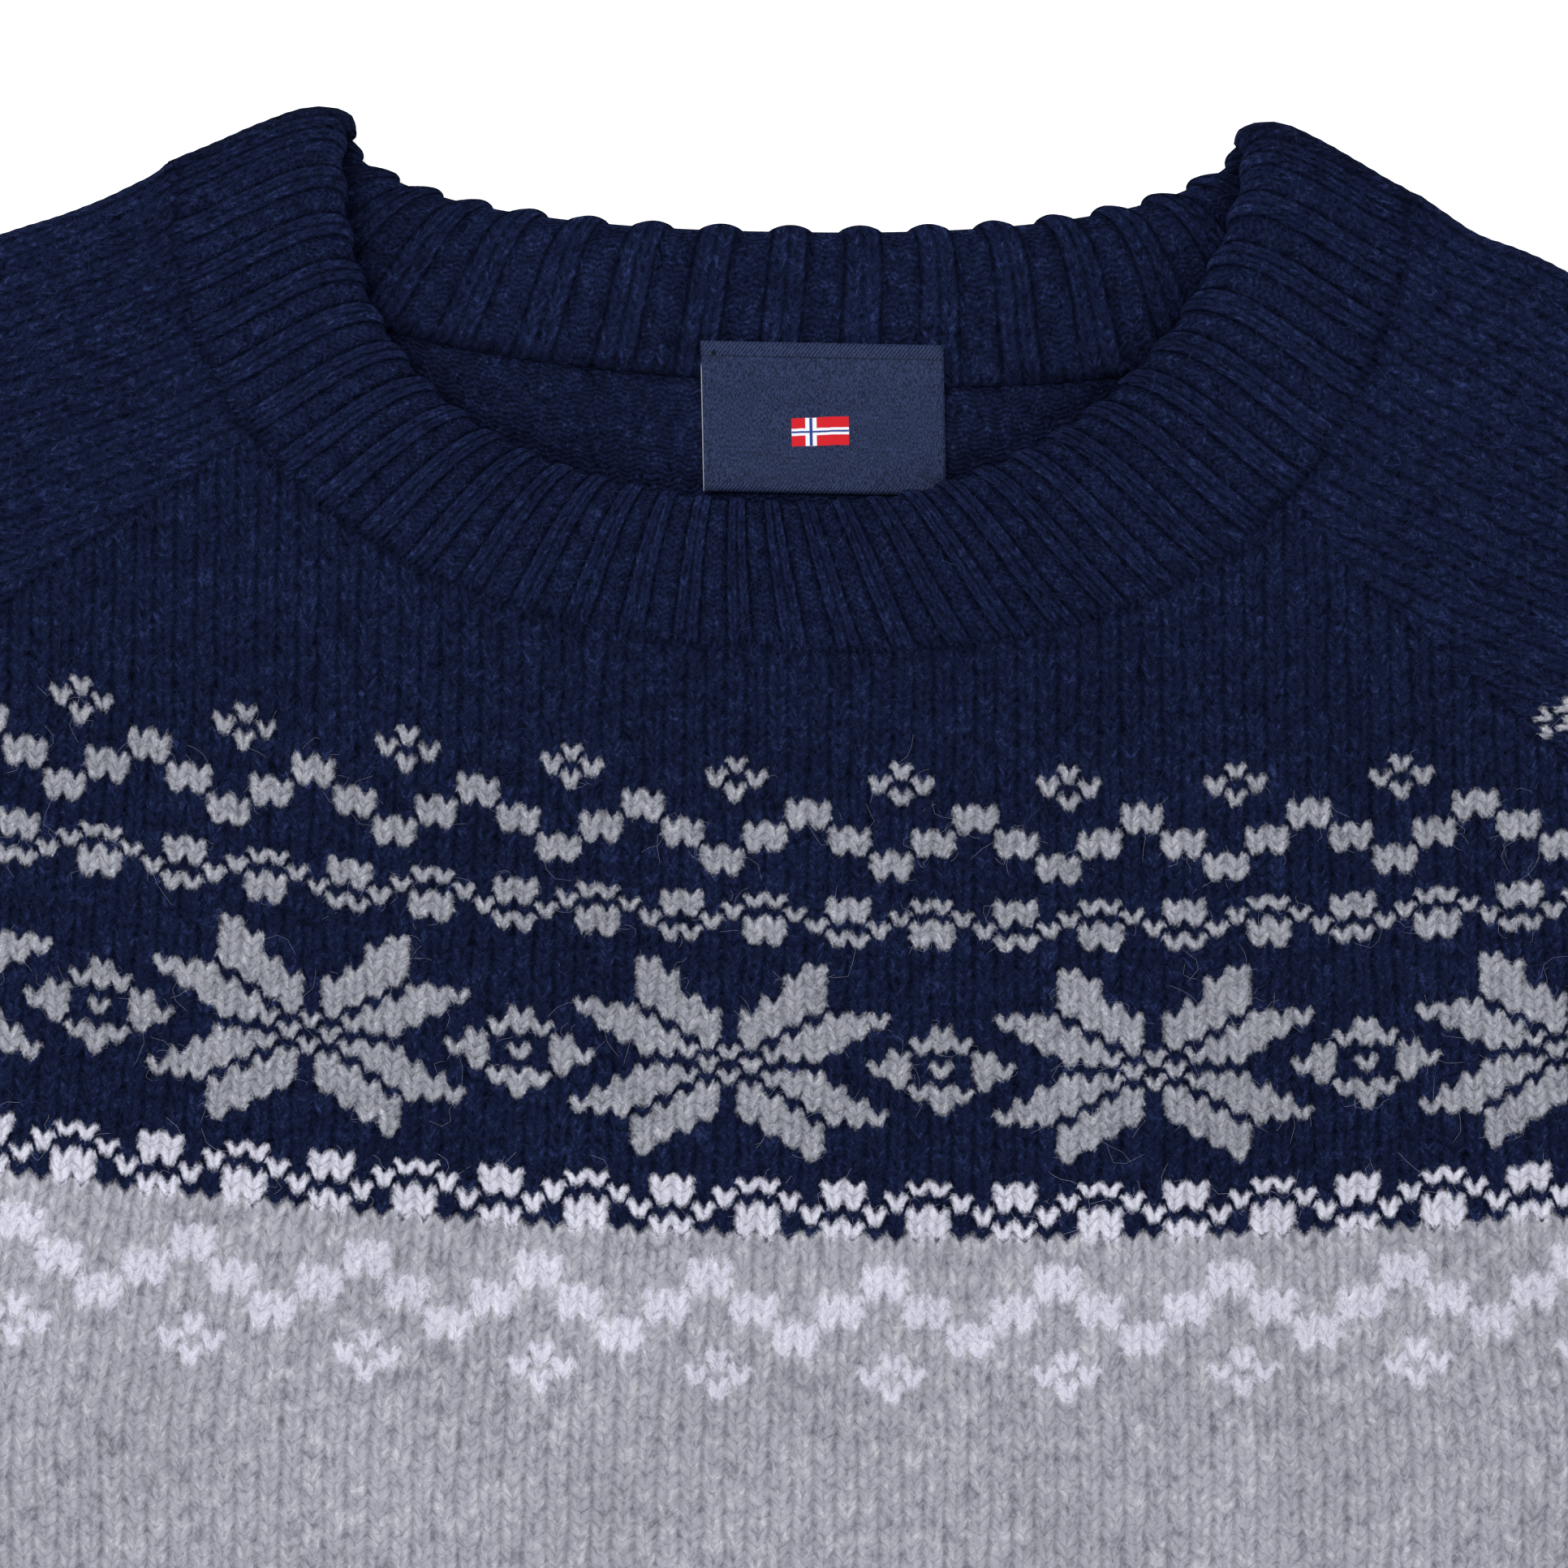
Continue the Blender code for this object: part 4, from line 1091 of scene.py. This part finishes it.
def labelPlace(across, down, height):  # lies on the back, its top edge up on the neckband
    x = label["x"] + across + label["lean"] * down
    y = label["topY"] - down - label["lean"] * across - cloth["planMiddleY"]
    step = label["step"] * smoothStep(1.8 - down / 8)
    a, d = across / label["halfWidth"], down / label["height"]
    curl = label["curlSides"] * a**4 + label["curlEnd"] * d**3
    curl = curl + label["ripple"] * np.sin(across / 6) * d
    return np.stack([x, y, label["z"] + step + curl + height], axis=-1)


def satinWeave(name):
    # Polyester satin with a jacquard-woven flag: fine floats give a faint lengthwise gloss, partly
    # painted into the colour as lighter streaks, the turned-in ends show twill lines, and a pale
    # selvedge thread runs down the left edge
    material, tree = newMaterial(name)
    n = lambda kind, links=None, **settings: addNode(tree, kind, links, **settings).outputs[0]
    plus, minus, times, timesPlus, most, absolute, fraction = mathNodes(tree)
    split = addNode(tree, "SeparateXYZ", {0: addNode(tree, "UVMap", uv_map="stitches").outputs[0]})
    a, d = split.outputs[0], split.outputs[1]
    place = addNode(tree, "TexCoord").outputs["Object"]
    stretch = n("Mapping", {0: place, 3: (4200.0, 1700.0, 1700.0)})
    threads = n("TexNoise", {"Vector": stretch, "Scale": 1.0, "Detail": 2.0})
    uneven = n("TexNoise", {"Vector": place, "Scale": 300.0, "Detail": 3.0})

    def mask(value, middle, half, soft=0.06):  # 1 within half of the middle
        far = absolute(minus(value, middle))
        return n("MapRange", {0: far, 1: half - soft, 2: half + soft, 3: 1.0, 4: 0.0})

    def paint(share, one, code):
        return addNode(tree, "Mix", {0: share, 6: one, 7: hexToLinear(label[code])},
                       data_type="RGBA").outputs[2]

    twill = fraction(times(plus(a, times(d, 0.8)), 1.25))
    inTop = mask(d, 0.0, label["topStrip"], 0.1)
    inBottom = mask(d, label["height"], label["bottomStrip"], 0.1)
    strip = most(inTop, inBottom)
    lines = n("MapRange", {0: twill, 1: 0.35, 2: 0.6, 3: -0.5, 4: 0.5})
    lines = times(times(strip, lines), 0.9)
    grain = plus(timesPlus(minus(threads, 0.5), 3.4, 0.42), lines)
    grain = timesPlus(minus(uneven, 0.5), 0.5, grain)
    # painted gloss: lengthwise thread streaks lighten the satin towards satinLight, with the twill
    # lines and the uneven tone
    colour = paint(grain, hexToLinear(label["satin"]), "satinLight")
    # painted shade along the fold of the top strip, half-way to the dark tack colour
    fold = mask(d, label["topStrip"] + 0.1, 0.16)
    colour = paint(times(fold, 0.5), colour, "tack")
    fromFlagX = minus(a, label["flagX"])
    fromFlagY = timesPlus(fromFlagX, label["flagTilt"], minus(d, label["flagDown"]))
    fromFlagY = timesPlus(minus(uneven, 0.5), 0.5, fromFlagY)
    flag = times(mask(fromFlagX, 0.0, label["flagWidth"] / 2),
                 mask(fromFlagY, 0.0, label["flagHeight"] / 2))
    colour = paint(flag, colour, "flagRed")
    for hue in ("white", "blue"):
        cross = most(mask(fromFlagX, label["crossX"], label[hue + "Upright"]),
                     mask(fromFlagY, 0.0, label[hue + "Bar"]))
        colour = paint(times(flag, cross), colour, "flag" + hue.capitalize())
    selvedge = times(mask(a, -label["halfWidth"], 0.14, 0.1),
                     n("MapRange", {0: d, 1: label["selvedgeFrom"], 2: label["selvedgeFull"],
                                    3: 0.0, 4: 1.0}))
    colour = paint(times(selvedge, 0.6), colour, "thread")
    tack = times(mask(a, label["tackX"], 0.42, 0.25), mask(d, label["tackDown"], 0.55, 0.25))
    colour = paint(tack, colour, "tack")
    height = plus(times(threads, 0.5), times(lines, 0.6))
    bump = n("Bump", {"Height": height, "Distance": 0.00018, "Strength": 0.6})
    finishMaterial(tree, {"Base Color": colour, "Normal": bump, "Roughness": 0.65,
                          "Specular IOR Level": 0.1, "Anisotropic": 0.3})
    return material


def labelPiece():  # two layers of one grid with a rounded rim; the turned-in ends are thicker
    across = np.linspace(-label["halfWidth"], label["halfWidth"], 61)
    down = np.linspace(0, label["height"], 47)
    a, d = np.meshgrid(across, down, indexing="ij")
    rimA = np.clip((label["halfWidth"] - np.abs(a)) / 0.5, 0, 1)
    rimD = np.clip(np.minimum(d, label["height"] - d) / 0.5, 0, 1)
    rim = np.minimum(rimA, rimD)
    onStrips = smoothStep((label["topStrip"] - d) / 0.4) + smoothStep(
        (d - label["height"] + label["bottomStrip"]) / 0.4)
    thick = label["wall"] * (0.55 + 0.15 * onStrips)
    top = labelPlace(a, d, thick * (0.4 + 0.6 * np.sqrt(1 - (1 - rim)**2)))
    low = labelPlace(a, d, 0 * a)
    number = np.arange(a.size).reshape(a.shape)
    lower = number + a.size
    tris = gridTris(number) + gridTris(lower)
    for one, two in ((number, lower), (number.T, lower.T)):
        tris += stripTris(one[0], two[0]) + stripTris(one[-1], two[-1])
    points = np.concatenate([top.reshape(-1, 3), low.reshape(-1, 3)])
    uv = np.stack([np.tile(a.ravel(), 2), np.tile(d.ravel(), 2)], -1)
    piece = buildMesh("labelSatin", points, np.concatenate(tris), uv, np.zeros((len(points), 4)),
                      np.zeros(len(points)), satinWeave("wovenSatinLabel"), ["label"])


labelPiece()


fibres = {
    "shares": {"frontKnit": 4000, "sleeveRight": 500, "sleeveLeft": 500, "neckbandRib": 700,
               "hemFront": 60},
    "radius": 0.026,       # a few wool fibres that cling together
    "aboveZ": 4.2,         # they stand on the upper layer, most of them round the neck
    "dense": (-5, 175, 30),                    # x of the middle, half width, lowest y
    "elsewhere": 0.12, "onContrast": 7.0,
    "lengths": (1.6, 4.6), "longOne": 2.2,     # one in five is longer by this
    "bend": 0.34, "rises": (0.25, 0.7),
    "navy": "#2a3454", "grey": "#82859a", "white": "#9a9bb0", "melange": "#a9aab2",
}


def strayWool(name, code):
    # A few wool fibres that stand off the brushed face: thin and matt
    material, tree = newMaterial(name)
    place = addNode(tree, "TexCoord").outputs["Object"]
    uneven = addNode(tree, "TexNoise", {"Vector": place, "Scale": 500.0, "Detail": 1.0}).outputs[0]
    pale = [min(1.0, c * 1.5) for c in hexToLinear(code)[:3]] + [1.0]
    mix = addNode(tree, "Mix", {0: uneven, 6: hexToLinear(code), 7: pale}, data_type="RGBA")
    finishMaterial(tree, {"Base Color": mix.outputs[2], "Roughness": 0.8,
                          "Specular IOR Level": 0.2})
    return material


def fibrePiece():
    # Each fibre is an arch: along its heading by t, bent sideways and upwards by sin(pi t), with
    # three sides that close to a point at each end
    starts, kinds = [], []
    for name, points, colours in surfaces:
        count = fibres["shares"].get(name, 0)
        if not count:
            continue
        middleX, half, lowY = fibres["dense"]
        inside = (np.abs(points[:, 0] - middleX) < half) & (points[:, 1] > lowY)
        chance = (points[:, 2] > fibres["aboveZ"]) * (fibres["elsewhere"] + inside)
        chance = chance * (1 + fibres["onContrast"] * (colours[:, 0] > 0.4))
        pick = rng.choice(len(points), count, replace=False, p=chance / chance.sum())
        starts.append(points[pick])
        contrast, ground, light = colours[pick, 0], colours[pick, 1], colours[pick, 2]
        kinds.append(np.where(contrast > 0.6, np.where(light > 0.5, 2, 1),
                              np.where(ground > 0.5, 3, 0)))
    starts, kinds = np.concatenate(starts), np.concatenate(kinds)
    count = len(starts)
    length = rng.uniform(*fibres["lengths"], count)
    length = length * rng.choice([1.0, 1.0, 1.0, 1.0, fibres["longOne"]], count)
    heading = rng.uniform(0, 2 * np.pi, count)
    bend = rng.normal(0, fibres["bend"], count) * length
    rise = rng.uniform(*fibres["rises"], count) * np.minimum(length / 4, 1.3)
    t = np.array([0, 0.12, 0.37, 0.63, 0.88, 1.0])
    arch = np.sin(np.pi * t)[None, :]
    far = length[:, None] * t[None, :]
    curl = 0.25 * np.sin(2 * np.pi * t)[None, :] * rng.normal(0, 1.6, count)[:, None]
    side = bend[:, None] * arch + curl
    x = starts[:, 0, None] + far * np.cos(heading)[:, None] - side * np.sin(heading)[:, None]
    y = starts[:, 1, None] + far * np.sin(heading)[:, None] + side * np.cos(heading)[:, None]
    z = starts[:, 2, None] - 0.15 + rise[:, None] * arch
    line = np.stack([x, y, z], -1)
    along = np.gradient(line, axis=1)
    along /= np.linalg.norm(along, axis=-1, keepdims=True)
    flat = np.cross(along, (0, 0, 1.0))
    flat /= np.linalg.norm(flat, axis=-1, keepdims=True)
    up = np.cross(flat, along)
    turn = np.array([0, 2, 4]) * np.pi / 3
    spokes = flat[:, 1:5, None] * np.cos(turn)[:, None] + up[:, 1:5, None] * np.sin(turn)[:, None]
    rings = line[:, 1:5, None] + fibres["radius"] * spokes
    points = np.concatenate([line[:, :1], rings.reshape(count, 12, 3), line[:, 5:]], axis=1)
    tris = [(0, 1 + (k + 1) % 3, 1 + k) for k in range(3)]
    tris += [(13, 10 + k, 10 + (k + 1) % 3) for k in range(3)]
    for r in range(3):
        for k in range(3):
            one, two = 1 + 3 * r + k, 1 + 3 * r + (k + 1) % 3
            tris += [(one, two, two + 3), (one, two + 3, one + 3)]
    tris = np.arange(count)[:, None, None] * 14 + np.array(tris)[None]
    mesh = rawMesh("looseFibres", points.reshape(-1, 3), tris)
    mesh.polygons.foreach_set("material_index", np.repeat(kinds, tris.shape[1]).astype(np.int32))
    for kind in ("navy", "grey", "white", "melange"):
        mesh.materials.append(strayWool(kind + "StrayWool", fibres[kind]))
    pieceOf(mesh)


fibrePiece()


view = {"middleX": -4.8, "middleY": -137.7, "width": 322.0, "lens": 150.0, "sensor": 36.0,
        "overTable": 0.0056}               # the width is seen at this height, in metres
studio = {
    "floorHalf": 20, "paper": "#fdfdfd", "air": "#f4f6fa", "airStrength": 0.75,
    "aim": (0, 0.2, 0),
    # softboxes: name, place in metres, size, power
    "softboxes": [("keySoftbox", (-0.9, 0.9, 1.3), 0.9, 14),
                  ("fillSoftbox", (1.1, -0.6, 1.4), 1.2, 6)],
}


def floorMaterial():
    # Seamless white paper sweep, matt, lit evenly
    material, tree = newMaterial("whitePaperSweep")
    finishMaterial(tree, {"Base Color": hexToLinear(studio["paper"]), "Roughness": 0.9,
                          "Emission Color": (1, 1, 1, 1), "Emission Strength": 0.55})
    return material


floorMesh = bpy.data.meshes.new("floor")
half = studio["floorHalf"]
floorMesh.from_pydata([(-half, -half, 0), (half, -half, 0), (half, half, 0), (-half, half, 0)],
                      [], [(0, 1, 2, 3)])
floorMesh.materials.append(floorMaterial())
floor = linked("floor", floorMesh)

world = bpy.data.worlds.new("softRoom")
world.use_nodes = True
air = world.node_tree.nodes["Background"].inputs
air[0].default_value, air[1].default_value = hexToLinear(studio["air"]), studio["airStrength"]
bpy.context.scene.world = world

for name, place, size, power in studio["softboxes"]:
    lamp = bpy.data.lights.new(name, "AREA")
    lamp.shape, lamp.size, lamp.energy = "SQUARE", size, power
    light = linked(name, lamp)
    light.location = place
    aimX, aimY, aimZ = np.array(studio["aim"]) - np.array(place)
    light.rotation_euler = (math.atan2(math.hypot(aimX, aimY), -aimZ), 0, math.atan2(-aimX, aimY))

# the camera looks straight down on the neck
camera = bpy.data.cameras.new("camera")
camera.lens, camera.sensor_width = view["lens"], view["sensor"]
cameraObject = linked("camera", camera)
far = view["width"] / 1000 * view["lens"] / view["sensor"]
cameraObject.location = (view["middleX"] / 1000, (view["middleY"] - cloth["planMiddleY"]) / 1000,
                         far + view["overTable"])
bpy.context.scene.camera = cameraObject
bpy.context.scene.view_settings.view_transform = "Standard"

print("scene ready")
